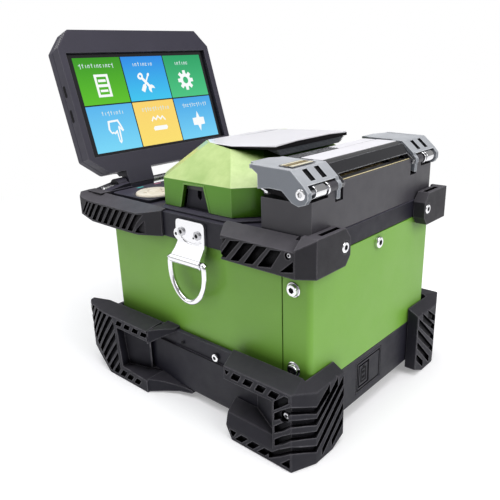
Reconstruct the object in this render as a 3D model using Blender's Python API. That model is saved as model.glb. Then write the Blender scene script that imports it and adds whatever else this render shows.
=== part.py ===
"""Fibre fusion splicer, one object per sub-part.

Shapes are given in millimetres and scaled to metres when a mesh is made.
-Y is the front, where the display stands; +Y is the rear, where the heater lies.
+X is the right side seen from the front and +Z is up.
The display's glass looks toward +Y, over the case, and its top leans toward -Y.
Outlines are drawn about the middle of the case; REF_Y then moves everything so that the
origin is on the ground under the middle of the whole object, display and guards included.
"""
import math

import bmesh
import bpy
from mathutils import Matrix, Vector

for old in list(bpy.data.objects):
    bpy.data.objects.remove(old, do_unlink=True)

# ---------------------------------------------------------------- main sizes
MM = 0.001             # metres in a millimetre
REF_Y = 21.95          # middle of the case, measured back from the origin
GAP = 0.3              # assembly clearance
SIDES = ((1, "right"), (-1, "left"))
ENDS = ((-1, "front"), (1, "rear"))

CASE_X = 61.0          # half width of the sheet case
CASE_Y = 77.0          # half depth of the sheet case
CASE_Z0 = 36.0         # lower edge of the sheet case
CASE_Z1 = 103.9        # upper edge of the sheet case
CASE_FIT_X = CASE_X + GAP
CASE_FIT_Y = CASE_Y + GAP

FRAME_X = 63.2         # half width of the top frame
FRAME_Z0 = CASE_Z1 + GAP
FRAME_Z1 = 114.2
ON_FRAME_Z = FRAME_Z1 + 0.1   # underside of the parts that lie on the frame

# hinge lines, all along X
DISPLAY_AXIS = (0.0, -92.0, 116.5)
LID_AXIS = (0.0, -41.0, 119.0)
HEATER_AXIS = (0.0, 75.2, 137.0)


# ---------------------------------------------------------------- materials
def material(name, colour, roughness, metallic=0.0):
    mat = bpy.data.materials.new(name)
    mat.use_nodes = True
    bsdf = mat.node_tree.nodes["Principled BSDF"]
    bsdf.inputs["Base Color"].default_value = (*colour, 1.0)
    bsdf.inputs["Roughness"].default_value = roughness
    bsdf.inputs["Metallic"].default_value = metallic
    mat.diffuse_color = (*colour, 1.0)
    return mat


GREEN = material("case_green", colour=(0.20, 0.42, 0.09), roughness=0.42)
LIME = material("cover_green", colour=(0.28, 0.55, 0.10), roughness=0.30)
BLACK = material("frame_black", colour=(0.045, 0.042, 0.050), roughness=0.62)
RUBBER = material("guard_rubber", colour=(0.030, 0.028, 0.034), roughness=0.80)
SLATE = material("clamp_slate", colour=(0.22, 0.24, 0.28), roughness=0.45, metallic=0.3)
SILVER = material("panel_silver", colour=(0.72, 0.72, 0.75), roughness=0.25, metallic=0.6)
CHROME = material("chrome", colour=(0.80, 0.80, 0.82), roughness=0.12, metallic=1.0)
STEEL = material("steel", colour=(0.55, 0.55, 0.57), roughness=0.30, metallic=1.0)
ALUMINIUM = material("aluminium", colour=(0.62, 0.63, 0.65), roughness=0.38, metallic=1.0)
GLASS = material("screen_glass", colour=(0.02, 0.02, 0.025), roughness=0.08)
GOLD = material("heater_gold", colour=(0.78, 0.60, 0.26), roughness=0.30, metallic=1.0)
CERAMIC = material("ceramic", colour=(0.86, 0.84, 0.78), roughness=0.35)
CREAM = material("key_cream", colour=(0.80, 0.74, 0.62), roughness=0.40)
BOARD = material("board_green", colour=(0.03, 0.16, 0.07), roughness=0.50)
CELL = material("battery_grey", colour=(0.10, 0.10, 0.12), roughness=0.55)


# ---------------------------------------------------------------- shapes
# A shape is a closed bmesh in millimetres.
def loft(rings):
    """A shape through rings of points with the same count."""
    shape = bmesh.new()
    loops = [[shape.verts.new(p) for p in ring] for ring in rings]
    count = len(loops[0])
    for a, b in zip(loops, loops[1:]):
        for i in range(count):
            j = (i + 1) % count
            shape.faces.new((a[i], a[j], b[j], b[i]))
    shape.faces.new(loops[0][::-1])
    shape.faces.new(loops[-1])
    return shape


def prism(points, axis, low, high):
    """Extrudes an outline along axis; x takes (y, z), y takes (x, z) and z takes (x, y)."""
    place = {
        "x": lambda p, h: (h, p[0], p[1]),
        "y": lambda p, h: (p[0], h, p[1]),
        "z": lambda p, h: (p[0], p[1], h),
    }[axis]
    return loft([[place(p, h) for p in points] for h in (low, high)])


def box(x0, x1, y0, y1, z0, z1):
    return prism([(x0, y0), (x1, y0), (x1, y1), (x0, y1)], "z", z0, z1)


def circle(cx, cy, radius, segments=24):
    turns = [2 * math.pi * i / segments for i in range(segments)]
    return [(cx + radius * math.cos(a), cy + radius * math.sin(a)) for a in turns]


def rod(axis, centre, radius, low, high, segments=24):
    return prism(circle(*centre, radius, segments), axis, low, high)


def rounded_rect(half_x, y0, y1, radius, steps=4):
    left, right = radius - half_x, half_x - radius
    low, high = y0 + radius, y1 - radius
    points = []
    for cx, cy, start in ((right, high, 0), (left, high, 90), (left, low, 180), (right, low, 270)):
        for i in range(steps + 1):
            a = math.radians(start + 90 * i / steps)
            points.append((cx + radius * math.cos(a), cy + radius * math.sin(a)))
    return points


def at_height(outline, z):
    return [(x, y, z) for x, y in outline]


# Things on the right (side = 1) or the left (side = -1) are given for the right;
# near and far are distances from the middle plane.
def mirrored(points, side):
    """An outline whose first column is x, on the wanted side."""
    return [(side * x, other) for x, other in points][::side]


def mirrored_ring(points, side):
    return [(side * x, y, z) for x, y, z in points]


def span(side, near, far):
    return sorted((side * near, side * far))


def side_prism(points, side, near, far):
    return prism(points, "x", *span(side, near, far))


def side_box(side, near, far, y0, y1, z0, z1):
    return box(*span(side, near, far), y0, y1, z0, z1)


def side_rod(centre, radius, side, near, far, segments=24):
    return rod("x", centre, radius, *span(side, near, far), segments)


# ---------------------------------------------------------------- objects
def new_object(name, shape, mat=None, pivot=(0, 0, 0)):
    """Makes an object from a shape and puts its origin at pivot."""
    bmesh.ops.recalc_face_normals(shape, faces=shape.faces[:])
    bmesh.ops.transform(shape, matrix=Matrix.Translation(-Vector(pivot)), verts=shape.verts[:])
    bmesh.ops.scale(shape, vec=(MM, MM, MM), verts=shape.verts[:])
    mesh = bpy.data.meshes.new(name)
    shape.to_mesh(mesh)
    shape.free()
    obj = bpy.data.objects.new(name, mesh)
    obj.location = (Vector(pivot) + Vector((0, REF_Y, 0))) * MM
    bpy.context.scene.collection.objects.link(obj)
    if mat:
        mesh.materials.append(mat)
    return obj


def tidy(obj):
    """Merges doubled points and flat faces left by a boolean, then triangulates."""
    bm = bmesh.new()
    bm.from_mesh(obj.data)
    bmesh.ops.remove_doubles(bm, verts=bm.verts[:], dist=1e-7)
    flat = math.radians(0.2)
    bmesh.ops.dissolve_limit(bm, angle_limit=flat, verts=bm.verts[:], edges=bm.edges[:])
    bmesh.ops.triangulate(bm, faces=bm.faces[:], quad_method="BEAUTY", ngon_method="BEAUTY")
    bm.to_mesh(obj.data)
    bm.free()


def combine(obj, shape, operation):
    """Applies one boolean with a shape and bakes the result into obj."""
    tool = new_object("tool", shape)
    mod = obj.modifiers.new("b", "BOOLEAN")
    mod.operation = operation
    mod.solver = "EXACT"
    mod.object = tool
    graph = bpy.context.evaluated_depsgraph_get()
    graph.update()
    baked = bpy.data.meshes.new_from_object(obj.evaluated_get(graph))
    mats = list(obj.data.materials)
    obj.modifiers.remove(mod)
    obj.data = baked
    baked.materials.clear()
    for mat in mats:
        baked.materials.append(mat)
    for poly in baked.polygons:
        poly.material_index = 0
    bpy.data.objects.remove(tool, do_unlink=True)
    tidy(obj)


def cut(obj, *shapes):
    for shape in shapes:
        combine(obj, shape, "DIFFERENCE")


def add(obj, *shapes):
    for shape in shapes:
        combine(obj, shape, "UNION")


def keep(obj, shape):
    combine(obj, shape, "INTERSECT")


def overlap(first, second):
    """The shape common to two shapes."""
    helper = new_object("overlap", first)
    keep(helper, second)
    shape = bmesh.new()
    shape.from_mesh(helper.data)
    bmesh.ops.scale(shape, vec=(1 / MM, 1 / MM, 1 / MM), verts=shape.verts[:])
    bpy.data.objects.remove(helper, do_unlink=True)
    return shape


def clip(obj, point, normal):
    """Removes everything on the outer side of a plane."""
    normal = Vector(normal).normalized()
    size = 400.0
    shape = bmesh.new()
    bmesh.ops.create_cube(shape, size=size)
    turn = Vector((0, 0, 1)).rotation_difference(normal).to_matrix().to_4x4()
    where = Matrix.Translation(Vector(point) + normal * size / 2)
    bmesh.ops.transform(shape, matrix=where @ turn, verts=shape.verts[:])
    cut(obj, shape)


def smooth(obj, angle=40):
    """Smooth shading, with edges sharper than angle (degrees) kept hard."""
    for poly in obj.data.polygons:
        poly.use_smooth = True
    obj.data.set_sharp_from_angle(angle=math.radians(angle))


# ================================================================= BASE
BASE_X = 65.0
BASE_FRONT_Y = -80.0
BASE_Z0 = 3.0
BASE_RIM_Z = 41.5
# base tray side view: y, z
BASE_SECTION = [
    (BASE_FRONT_Y, BASE_RIM_Z), (BASE_FRONT_Y, 11), (-73, BASE_Z0),
    (70, BASE_Z0), (CASE_Y, 9), (CASE_Y, BASE_RIM_Z),
]
PORT_X0, PORT_X1 = -9.4, 16.9       # port cover, left and right edges
PORT_Y = 76.9                       # its outer face
PORT_Z = 12.9                       # its lower edge


def base_tray():
    base = new_object("base_tray", prism(BASE_SECTION, "x", -BASE_X, BASE_X), BLACK)
    cut(base, box(-62, 62, -77, 74.5, 6, 31.7))
    cut(base, box(-58, 58, -74, 74.2, 30, 43))
    # seat of the sheet case
    cut(base, box(-CASE_FIT_X, CASE_FIT_X, -CASE_FIT_Y, 90, CASE_Z0 - GAP, 43))
    for side, _ in SIDES:
        cut(base, side_box(side, 64.0, 67, -90, 90, 32.0, 43))
        # bevel along the lower edge
        cut(base, prism(mirrored([(66, 2), (66, 7), (61.5, 2)], side), "y", -90, 90))
    # recess and opening behind the port cover
    cut(base, box(-9.8, 17.3, 75.2, 80, 12.6, 33.0), box(-7.0, 14.5, 70, 80, 15.0, 30.5))


def port_cover():
    shape = box(PORT_X0, PORT_X1, 75.4, PORT_Y, PORT_Z, 32.6)
    new_object("port_cover", shape, BLACK, ((PORT_X0 + PORT_X1) / 2, PORT_Y, PORT_Z))


def power_socket():
    socket = new_object("power_socket", box(-6.6, 14.1, 60, 74.0, 15.4, 30.0), BLACK)
    cut(socket, rod("y", (0.5, 22.5), 4.2, 63, 80), box(7.0, 12.0, 63, 80, 17.0, 28.0))


def battery_pack():
    new_object("battery_pack", prism(rounded_rect(46, -66, 20, 4), "z", 6.4, 29.0), CELL)


# ================================================================= FEET
FOOT_X = 79.0          # outer face of the feet
FOOT_INNER_X = 65.3    # inner face, beside the base
# plans: x, y
REAR_FOOT_PLAN = [
    (FOOT_INNER_X, 29.5), (FOOT_X, 34.8), (FOOT_X, 79), (65.5, 84.5), (41, 84.5),
    (41, CASE_FIT_Y), (FOOT_INNER_X, CASE_FIT_Y),
]
FRONT_FOOT_PLAN = [
    (FOOT_INNER_X, -12), (FOOT_X, -26), (FOOT_X, -72), (78.2, -80), (75.6, -91.5),
    (72.8, -95.6), (69.6, -96.5), (FOOT_INNER_X, -84),
]
# The pocket in the side face is the overlap of an upright section and a plan (x, y).
REAR_POCKET_SECTION = [   # x, z
    (82, 36), (64, 36), (64, 17.0), (76.2, 14.4), (FOOT_X, 8.6), (82, 8.2),
]
REAR_POCKET_PLAN = [
    (82, 15), (82, 67.5), (FOOT_X, 67.0), (74.5, 66), (66, 47), (64, 43), (64, 15),
]
FRONT_POCKET_SECTION = [(-59.5, 36.3), (-56.8, 9.6), (-27, 7.8), (0, 7.8), (0, 36.3)]   # y, z
FRONT_POCKET_PLAN = [
    (82, -5), (82, -59.5), (FOOT_X, -59.5), (74, -58.5), (66, -37), (64, -33), (64, -5),
]


def foot_rear(side, label):
    shape = prism(mirrored(REAR_FOOT_PLAN, side), "z", 0, 46.2)
    foot = new_object(f"foot_rear_{label}", shape, RUBBER)
    # the top falls toward the outside and toward the rear
    clip(foot, (side * FOOT_X, 60, 44.0), (side * 0.16, 0, 1))
    clip(foot, (side * 50, 84.5, 41.3), (0, 0.56, 1))
    cut(foot, overlap(
        prism(mirrored(REAR_POCKET_SECTION, side), "y", 20, 67),
        prism(mirrored(REAR_POCKET_PLAN, side), "z", 5, 40),
    ))
    # lower front corner, then the underside of the leg's inner end
    clip(foot, (side * FOOT_X, 38.6, 0), (0, -0.893, -0.452))
    clip(foot, (side * 41, 80, 4.5), (-side * 0.45, 0, -1))


def foot_front(side, label):
    shape = prism(mirrored(FRONT_FOOT_PLAN, side), "z", 0, 44.0)
    foot = new_object(f"foot_front_{label}", shape, RUBBER)
    # the top falls toward the outside
    clip(foot, (side * FOOT_X, -60, 43.2), (side * 0.1, 0, 1))
    cut(foot, overlap(
        side_prism(FRONT_POCKET_SECTION, side, 64, 82),
        prism(mirrored(FRONT_POCKET_PLAN, side), "z", 5, 40),
    ))
    # toe cut back toward the ground
    clip(foot, (side * FOOT_X, -71.7, 0), (side * 1.6, -0.72, -0.72))
    clip(foot, (side * 75, -80.5, 0), (0, -0.75, -0.75))


# ================================================================= CASE SHEETS
SHEET = 1.6            # sheet thickness
CORNER_R = 3.0
SEAM_Y = 60.0          # where the rear cover meets the front shell
SEAM_HALF_GAP = 0.25


def case_sheet(name, cut_y0, cut_y1):
    """The sheet case with everything between two y values removed."""
    outer = rounded_rect(CASE_X, -CASE_Y, CASE_Y, CORNER_R, 5)
    inner = rounded_rect(CASE_X - SHEET, SHEET - CASE_Y, CASE_Y - SHEET, CORNER_R - SHEET, 5)
    sheet = new_object(name, prism(outer, "z", CASE_Z0, CASE_Z1), GREEN)
    cut(sheet, prism(inner, "z", CASE_Z0 - 5, CASE_Z1 + 5))
    cut(sheet, box(-70, 70, cut_y0, cut_y1, 20, 120))


def front_case_shell():
    case_sheet("front_case_shell", SEAM_Y - SEAM_HALF_GAP, 90)


def rear_case_cover():
    case_sheet("rear_case_cover", -90, SEAM_Y + SEAM_HALF_GAP)


# ================================================================= TOP FRAME
SKIRT_Z = 99.7         # lower edge of the frame
GUARD_IN_X = 60.8      # inner face of the side guards
GUARD_STEP_X = 63.5    # inner face where they pass beside the frame
GUARD_STEP_Z = 114.5   # underside of the part that lies on the frame
# front guard stations: y, outer x, bottom z, top z at the outer edge, top z at the inner edge
FRONT_GUARD = [
    (-99.3, 70.6, 104.3, 116.6, 117.0),
    (-95.5, 71.2, 103.2, 114.8, 116.9),
    (-90.0, 71.5, 101.9, 113.7, 116.8),
    (-84.0, 71.5, 100.2, 113.3, 116.6),
    (-60.0, 71.5, SKIRT_Z, 112.8, 116.2),
    (-38.0, 71.5, SKIRT_Z, 112.5, 115.8),
    (-24.0, 64.6, SKIRT_Z, 114.7, 115.4),
]
REAR_GUARD_PLAN = [   # x, y
    (GUARD_IN_X, 24.5), (GUARD_STEP_X, 24.5), (72, 30), (72, 76.0), (66.5, 84.3), (39, 84.3),
    (39, CASE_FIT_Y), (GUARD_STEP_X, CASE_FIT_Y), (GUARD_STEP_X, 70), (GUARD_IN_X, 70),
]
REAR_GUARD_FALL = [(56, 118.0), (72.5, 112.2), (80, 112.2), (80, 130), (56, 130)]   # x, z
REAR_GUARD_END = [   # x, z
    (39, FRAME_Z0), (39, 113.2), (43.5, 118.5), (66, 118.5), (72, 113.5), (72, 99.6), (43, 99.6),
]


def top_frame():
    frame = new_object("top_frame", box(-FRAME_X, FRAME_X, -82, 77, SKIRT_Z, FRAME_Z1), BLACK)
    cut(frame, box(-CASE_FIT_X, CASE_FIT_X, -CASE_FIT_Y, 90, 90, FRAME_Z0))
    cut(frame, box(-59.0, 59.0, -75.0, 74.0, 98, 111.0))
    # opening over the splice bay
    cut(frame, box(-50, 50, -34, 33, 98, 120))
    cut(frame, box(-100, 100, 75, 90, 90, FRAME_Z0))


def guard_front(side, label):
    rings = []
    for y, outer_x, bottom, outer_top, inner_top in FRONT_GUARD:
        section = [
            (GUARD_STEP_X, bottom), (outer_x, bottom), (outer_x, outer_top),
            (GUARD_IN_X, inner_top), (GUARD_IN_X, GUARD_STEP_Z), (GUARD_STEP_X, GUARD_STEP_Z),
        ]
        rings.append([(side * x, y, z) for x, z in section])
    guard = new_object(f"guard_front_{label}", loft(rings), BLACK)
    add(guard, side_box(side, 57, 64, -99.3, -82.3, 104.9, 116.9))
    clip(guard, (side * 71.5, -95.5, 110), (side, -1, 0))


def guard_rear(side, label):
    shape = prism(mirrored(REAR_GUARD_PLAN, side), "z", 99.6, 118.5)
    guard = new_object(f"guard_rear_{label}", shape, BLACK)
    # falls from the inner line to the outer edge, leaving the corner block taller
    cut(guard, prism(mirrored(REAR_GUARD_FALL, side), "y", 10, 75.5))
    keep(guard, prism(mirrored(REAR_GUARD_END, side), "y", 0, 100))
    cut(guard, side_box(side, 59, GUARD_STEP_X, 0, CASE_FIT_Y, 90, GUARD_STEP_Z))
    # slot in the top of the corner block
    cut(guard, side_box(side, 44.5, 60, 79.6, 82.2, 113.5, 125))


# ================================================================= DECK
DECK_TOP = 116.2
KEY_GAP = 0.4          # clearance round the nav ring and the round keys
NAV = (41.5, -56.5)    # centres are x, y
POWER = (-36.0, -60.0)
RESET = (-50.0, -60.0)
NAV_R = 12.2
NAV_BORE_R = 4.6
KEY_R = 4.6


def deck_plate():
    shape = prism(rounded_rect(56.5, -81.5, -43.8, 3), "z", ON_FRAME_Z, DECK_TOP)
    deck = new_object("deck_plate", shape, BLACK)
    cut(deck, rod("z", NAV, NAV_R + KEY_GAP, 110, 120, 32))
    for centre in (POWER, RESET):
        cut(deck, rod("z", centre, KEY_R + KEY_GAP, 110, 120))


def key(name, centre, radius, top, bore=None, segments=24):
    shape = rod("z", centre, radius, FRAME_Z1 + 1.2, top, segments)
    button = new_object(name, shape, CREAM, (*centre, DECK_TOP))
    if bore:
        cut(button, rod("z", centre, bore, 110, 120))
    smooth(button)


def deck_keys():
    key("nav_ring", NAV, NAV_R, top=118.3, bore=NAV_BORE_R, segments=40)
    key("nav_centre_key", NAV, NAV_BORE_R - GAP, top=118.8)
    key("power_key", POWER, KEY_R, top=118.0)
    key("reset_key", RESET, KEY_R, top=118.0)


# ================================================================= STRAP RINGS
STRAP_X = 68.6         # ring bar, distance from the middle plane
STRAP_Z = 91.0
WIRE_R = 1.5
WIRE_SEGMENTS = 12
BRACKET_FACE = [   # y, z
    (-10.2, 110.5), (-11.2, 109.0), (-11.2, 105.4), (-12.4, 104.0), (-12.4, 101.6),
    (-10.6, 99.8), (-10.6, 97.4), (10.6, 97.4), (10.6, 99.8), (12.0, 101.6),
    (12.0, 104.0), (11.2, 105.4), (11.2, 109.0), (10.2, 110.5),
]
# rings of the bent lower part: x, y, z
BEND_TOP = [(63.5, -10.6, 98.6), (65.2, -10.6, 99.4), (65.2, 10.6, 99.4), (63.5, 10.6, 98.6)]
BEND_LOW = [(66.8, -11.6, 92.6), (71.2, -11.6, 91.2), (71.2, 11.6, 91.2), (66.8, 11.6, 92.6)]
# wire line of the D ring about the bar: y, z
RING_BAR = [(-12.5, 0.0), (12.5, 0.0)]
RING_HALF_BOW = [
    (13.4, -1.2), (13.7, -3.8), (13.4, -8.5), (12.3, -13.4), (10.0, -17.9), (6.7, -21.4),
    (2.4, -23.7),
]


def strap_bracket(side, label):
    # the outline is wound the other way on the left
    shape = side_prism(BRACKET_FACE[::side], side, 63.5, 65.2)
    bracket = new_object(f"strap_bracket_{label}", shape, CHROME)
    # the lower part bends out and curls round the bar of the ring
    add(bracket, loft([mirrored_ring(BEND_TOP, side), mirrored_ring(BEND_LOW, side)]))
    bar = (side * STRAP_X, STRAP_Z)
    add(bracket, rod("y", bar, 2.7, -11.6, 11.6))
    cut(bracket, rod("y", bar, WIRE_R + 0.25, -20, 20))
    cut(bracket, side_box(side, 60, 63.5, -20, 20, 80, 120))


def strap_ring(side, label):
    """D ring: straight bar in the curl, then a hanging bow."""
    path = RING_BAR + RING_HALF_BOW + [(-y, z) for y, z in RING_HALF_BOW[::-1]]
    count = len(path)
    shape = bmesh.new()
    loops = []
    for i, (y, z) in enumerate(path):
        here = Vector((y, z))
        arriving = (here - Vector(path[i - 1])).normalized()
        leaving = (Vector(path[(i + 1) % count]) - here).normalized()
        along = (arriving + leaving).normalized()
        out = Vector((along.y, -along.x))
        # mitred corners are widened so the wire keeps its thickness
        stretch = 1.0 / max(0.5, along.dot(leaving))
        loop = []
        for k in range(WIRE_SEGMENTS):
            a = 2 * math.pi * k / WIRE_SEGMENTS
            off = out * (WIRE_R * math.cos(a) * stretch)
            x = side * STRAP_X + WIRE_R * math.sin(a)
            loop.append(shape.verts.new((x, y + off.x, STRAP_Z + z + off.y)))
        loops.append(loop)
    for i in range(count):
        a, b = loops[i], loops[(i + 1) % count]
        for k in range(WIRE_SEGMENTS):
            m = (k + 1) % WIRE_SEGMENTS
            shape.faces.new((a[k], a[m], b[m], b[k]))
    ring = new_object(f"strap_ring_{label}", shape, CHROME, (side * STRAP_X, 0, STRAP_Z))
    smooth(ring, 60)


# ================================================================= DISPLAY
# Drawn upright about SCREEN_DATUM: x across, +y out of the glass, z up the screen.
SCREEN_DATUM = Vector((0.0, -94.1, 138.7))
TURN = Matrix.Rotation(math.radians(16.7), 4, "X")     # leans the top toward -Y
HINGE_UPRIGHT = TURN.inverted() @ (Vector(DISPLAY_AXIS) - SCREEN_DATUM)
SHAFT_R = 2.3
BARREL_R = 5.6
BEZEL_FACE = 2.0
BACK_FACE = -5.2       # where the back shell meets the bezel
NECK_TOP = -12.5
# outlines: x, z
DISPLAY_EDGE = [
    (-51, -13), (51, -13), (64, -2), (64, 67.5), (54, 79), (-54, 79), (-64, 67.5), (-64, -2),
]
DISPLAY_INSET = [
    (-48.5, -10.8), (48.5, -10.8), (61, -0.5), (61, 66.0),
    (52.3, 76.2), (-52.3, 76.2), (-61, 66.0), (-61, -0.5),
]
# hinge base side view: y, z; and the ramp on it: x, z
HINGE_BASE = [(-98.4, 112.6), (-95.4, 109.6), (-82.3, 109.6), (-82.3, 117.0), (-98.4, 117.0)]
HINGE_RAMP = [(39.2, 116.0), (39.2, 119.4), (44.5, 119.0), (56.7, 117.0), (56.7, 116.0)]


def on_display(shape):
    """Takes an upright display shape to its tilted place."""
    place = Matrix.Translation(SCREEN_DATUM) @ TURN
    bmesh.ops.transform(shape, matrix=place, verts=shape.verts[:])
    return shape


def display_back():
    stations = ((-13.0, DISPLAY_INSET), (-11.0, DISPLAY_EDGE), (BACK_FACE, DISPLAY_EDGE))
    shape = loft([[(x, y, z) for x, z in outline] for y, outline in stations])
    back = new_object("display_back", on_display(shape), BLACK, DISPLAY_AXIS)
    cut(back, on_display(box(-58, 58, -10.8, 5, -6, 70)))
    low = HINGE_UPRIGHT.z + 6.2
    neck = [(-11.0, NECK_TOP), (BACK_FACE, NECK_TOP), (BACK_FACE, low), (-9.0, low)]
    for side, _ in SIDES:
        add(back, on_display(side_prism(neck, side, 18.3, 38.4)))


def display_bezel():
    shape = on_display(prism(DISPLAY_EDGE, "y", -5.0, BEZEL_FACE))
    bezel = new_object("display_bezel", shape, BLACK, DISPLAY_AXIS)
    # seat of the glass, then the opening behind it
    cut(bezel, on_display(box(-59.3, 59.3, -1.4, 5, -1.4, 64.6)))
    cut(bezel, on_display(box(-57.5, 57.5, -8, 0, -0.6, 63.8)))
    low = HINGE_UPRIGHT.z - BARREL_R
    neck = [
        (-4.9, NECK_TOP), (BEZEL_FACE, NECK_TOP), (BEZEL_FACE, HINGE_UPRIGHT.z),
        (HINGE_UPRIGHT.y, low), (-4.9, low),
    ]
    for side, _ in SIDES:
        add(bezel, on_display(side_prism(neck, side, 18.0, 38.7)))
        add(bezel, side_rod(DISPLAY_AXIS[1:], BARREL_R, side, 18.0, 38.7))
    cut(bezel, rod("x", DISPLAY_AXIS[1:], SHAFT_R + GAP, -60, 60))


def display_screen():
    shape = on_display(box(-59.0, 59.0, -1.2, -0.2, -1.1, 64.3))
    new_object("display_screen", shape, GLASS, DISPLAY_AXIS)


def display_hinge_base(side, label):
    shape = side_prism(HINGE_BASE, side, 39.2, 56.7)
    base = new_object(f"display_hinge_base_{label}", shape, BLACK)
    add(base, side_rod(DISPLAY_AXIS[1:], 5.4, side, 39.2, 46.5))
    add(base, prism(mirrored(HINGE_RAMP, side), "y", -98.4, -84.0))
    cut(base, rod("x", DISPLAY_AXIS[1:], SHAFT_R + GAP, -70, 70))


def display_hinge_shaft():
    shape = rod("x", DISPLAY_AXIS[1:], SHAFT_R, -56, 56)
    smooth(new_object("display_hinge_shaft", shape, STEEL))


# ================================================================= WIND COVER
LID_PIN_R = 1.2
# cover outlines: x, y
EAVE = [(58, -27), (58, 25), (46, 36.5), (-46, 36.5), (-58, 25), (-58, -27), (-46, -38.5),
        (46, -38.5)]
EAVE_IN = [(55.8, -26), (55.8, 24), (45, 34.3), (-45, 34.3), (-55.8, 24), (-55.8, -26),
           (-45, -36.3), (45, -36.3)]
ROOF = [   # x, y, z
    (35, -13, 150), (38, 7, 148), (28, 22, 147.5), (-28, 22, 147.5), (-38, 7, 148),
    (-35, -13, 150), (-27, -23, 149.5), (27, -23, 149.5),
]
SIDE_OPENING = [   # y, z
    (-15.0, 110), (-13.7, 117.2), (-10.0, 130.2), (4.9, 130.6), (8.5, 117.2), (10.2, 110),
]
LID_KNUCKLE = [   # y, z
    (-43.6, 119.0), (-42.4, 116.9), (-38.0, 117.0), (-38.0, 121.6), (-41.0, 121.8),
    (-43.0, 120.9),
]
PANEL = [   # x, y, z of the underside
    (34.2, -12.6, 150.25), (37.4, 7.4, 149.3), (33.6, 34.5, 150.3), (-33.6, 34.5, 150.3),
    (-37.4, 7.4, 149.3), (-34.2, -12.6, 150.25), (-26.4, -22.2, 150.1), (26.4, -22.2, 150.1),
]
HANDLE_RINGS = [   # x, y, z; rear end first
    [(-33.0, 34.2, 149.9), (33.0, 34.2, 149.9), (27.4, 33.6, 145.2), (-27.4, 33.6, 145.2)],
    [(-30.0, 24.6, 149.2), (30.0, 24.6, 149.2), (27.4, 24.6, 147.3), (-27.4, 24.6, 147.3)],
]
# bay rim at its foot and at its top: x, y
RIM_FOOT = [(60, -28), (60, 26), (47.5, 38.3), (-47.5, 38.3), (-60, 26), (-60, -28),
            (-47.5, -37.0), (47.5, -37.0)]
RIM_TOP = [(57.6, -27), (57.6, 24.6), (45.8, 36.0), (-45.8, 36.0), (-57.6, 24.6),
           (-57.6, -27), (-46.3, -37.0), (46.3, -37.0)]
RIM_KNUCKLE = [   # y, z
    (-43.6, 119.0), (-42.6, ON_FRAME_Z), (-34.0, ON_FRAME_Z), (-34.0, 116.0),
    (-38.8, 117.0), (-38.8, 119.6), (-39.6, 120.7), (-41.0, 121.2), (-42.6, 120.5),
]
FIBRE_GUIDE = [(-13.0, 115.0), (-9.4, 129.0), (4.2, 129.4), (8.0, 115.0)]   # y, z
GUIDE_NOTCH = [(-2.6, 140), (-2.6, 123.6), (-1.0, 122.0), (0.6, 123.6), (0.6, 140)]   # y, z


def lid_bore():
    return rod("x", LID_AXIS[1:], LID_PIN_R + GAP, -40, 40)


def wind_cover():
    shape = loft([at_height(EAVE, 117.0), at_height(EAVE, 132.4), ROOF])
    lid = new_object("wind_cover", shape, LIME, LID_AXIS)
    roof_in = [(x * 0.95, y * 0.95, z - 2.4) for x, y, z in ROOF]
    cut(lid, loft([at_height(EAVE_IN, 110.0), at_height(EAVE_IN, 131.2), roof_in]))
    cut(lid, prism(SIDE_OPENING, "x", -70, 70))
    for side, _ in SIDES:
        add(lid, side_prism(LID_KNUCKLE, side, 14, 25))
    cut(lid, lid_bore())


def wind_cover_panel():
    shape = loft([PANEL, [(x, y, z + 1.2) for x, y, z in PANEL]])
    new_object("wind_cover_panel", shape, SILVER, LID_AXIS)


def wind_cover_handle():
    new_object("wind_cover_handle", loft(HANDLE_RINGS), SLATE, LID_AXIS)


def wind_cover_pin():
    smooth(new_object("wind_cover_pin", rod("x", LID_AXIS[1:], LID_PIN_R, -34, 34, 16), STEEL))


def bay_rim():
    rings = [at_height(RIM_FOOT, ON_FRAME_Z), at_height(RIM_FOOT, 115.3)]
    rim = new_object("bay_rim", loft(rings + [at_height(RIM_TOP, 116.7)]), BLACK)
    cut(rim, box(-50, 50, -33, 31, 100, 130))
    for side, _ in SIDES:
        add(rim, side_prism(RIM_KNUCKLE, side, 25.5, 34))
        # upright fibre guide, notched, just inside the side opening of the cover
        add(rim, side_prism(FIBRE_GUIDE, side, 52.6, 55.2))
        cut(rim, side_prism(GUIDE_NOTCH, side, 40, 60))
    cut(rim, lid_bore())


# ================================================================= HEATER
HEATER_KNUCKLE_R = 2.7
HEATER_PIN_R = 1.4
HEATER_BORE_R = HEATER_PIN_R + 0.1
# side views: y, z
HEATER_PLATE = [
    (48.5, 122.3), (66.0, 122.3), (66.0, 131.5), (60.5, 131.5), (57.3, 128.6), (54.0, 131.5),
    (48.5, 131.5),
]
CLAMP_CHEEK = [
    (49.4, 136.9), (56.7, 137.9), (63.7, 137.6), (69.4, 132.6), (73, 131.5), (76.6, 132.6),
    (78.2, 135.0), (78.2, 138.2), (75.6, 141.2), (68.6, 147.3), (45.5, 148.0), (45.0, 146.6),
    (49.4, 143.8),
]
CLAMP_HOOD = [
    (68.6, 147.3), (75.6, 141.2), (76.0, 140.7), (72.4, 140.7), (67.8, 145.0), (44.5, 145.9),
    (44.5, 147.9),
]
CLAMP_ARM = [
    (68.6, 147.3), (75.6, 141.2), (77.2, 137.4), (77.0, 130.6), (74.4, 131.2), (74.4, 136.6),
    (73.4, 139.6), (67.4, 145.0), (62.0, 145.3), (62.0, 147.5),
]
TAB_SECTION = [
    (45.5, 147.95), (48.5, 147.7), (48.5, 145.9), (46.5, 146.2), (38.0, 146.1), (38.0, 147.3),
]
TAB_PLAN = [(42, 46), (44, 38.9), (57.6, 38.9), (62, 45.5), (62, 47.5), (42, 47.5)]   # x, y
COVER_SECTION = [
    (66.0, 147.2), (69.2, 146.2), (73.4, 141.2), (71.0, 140.2), (66.8, 144.2), (44.8, 145.2),
    (44.8, 147.2),
]
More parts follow.
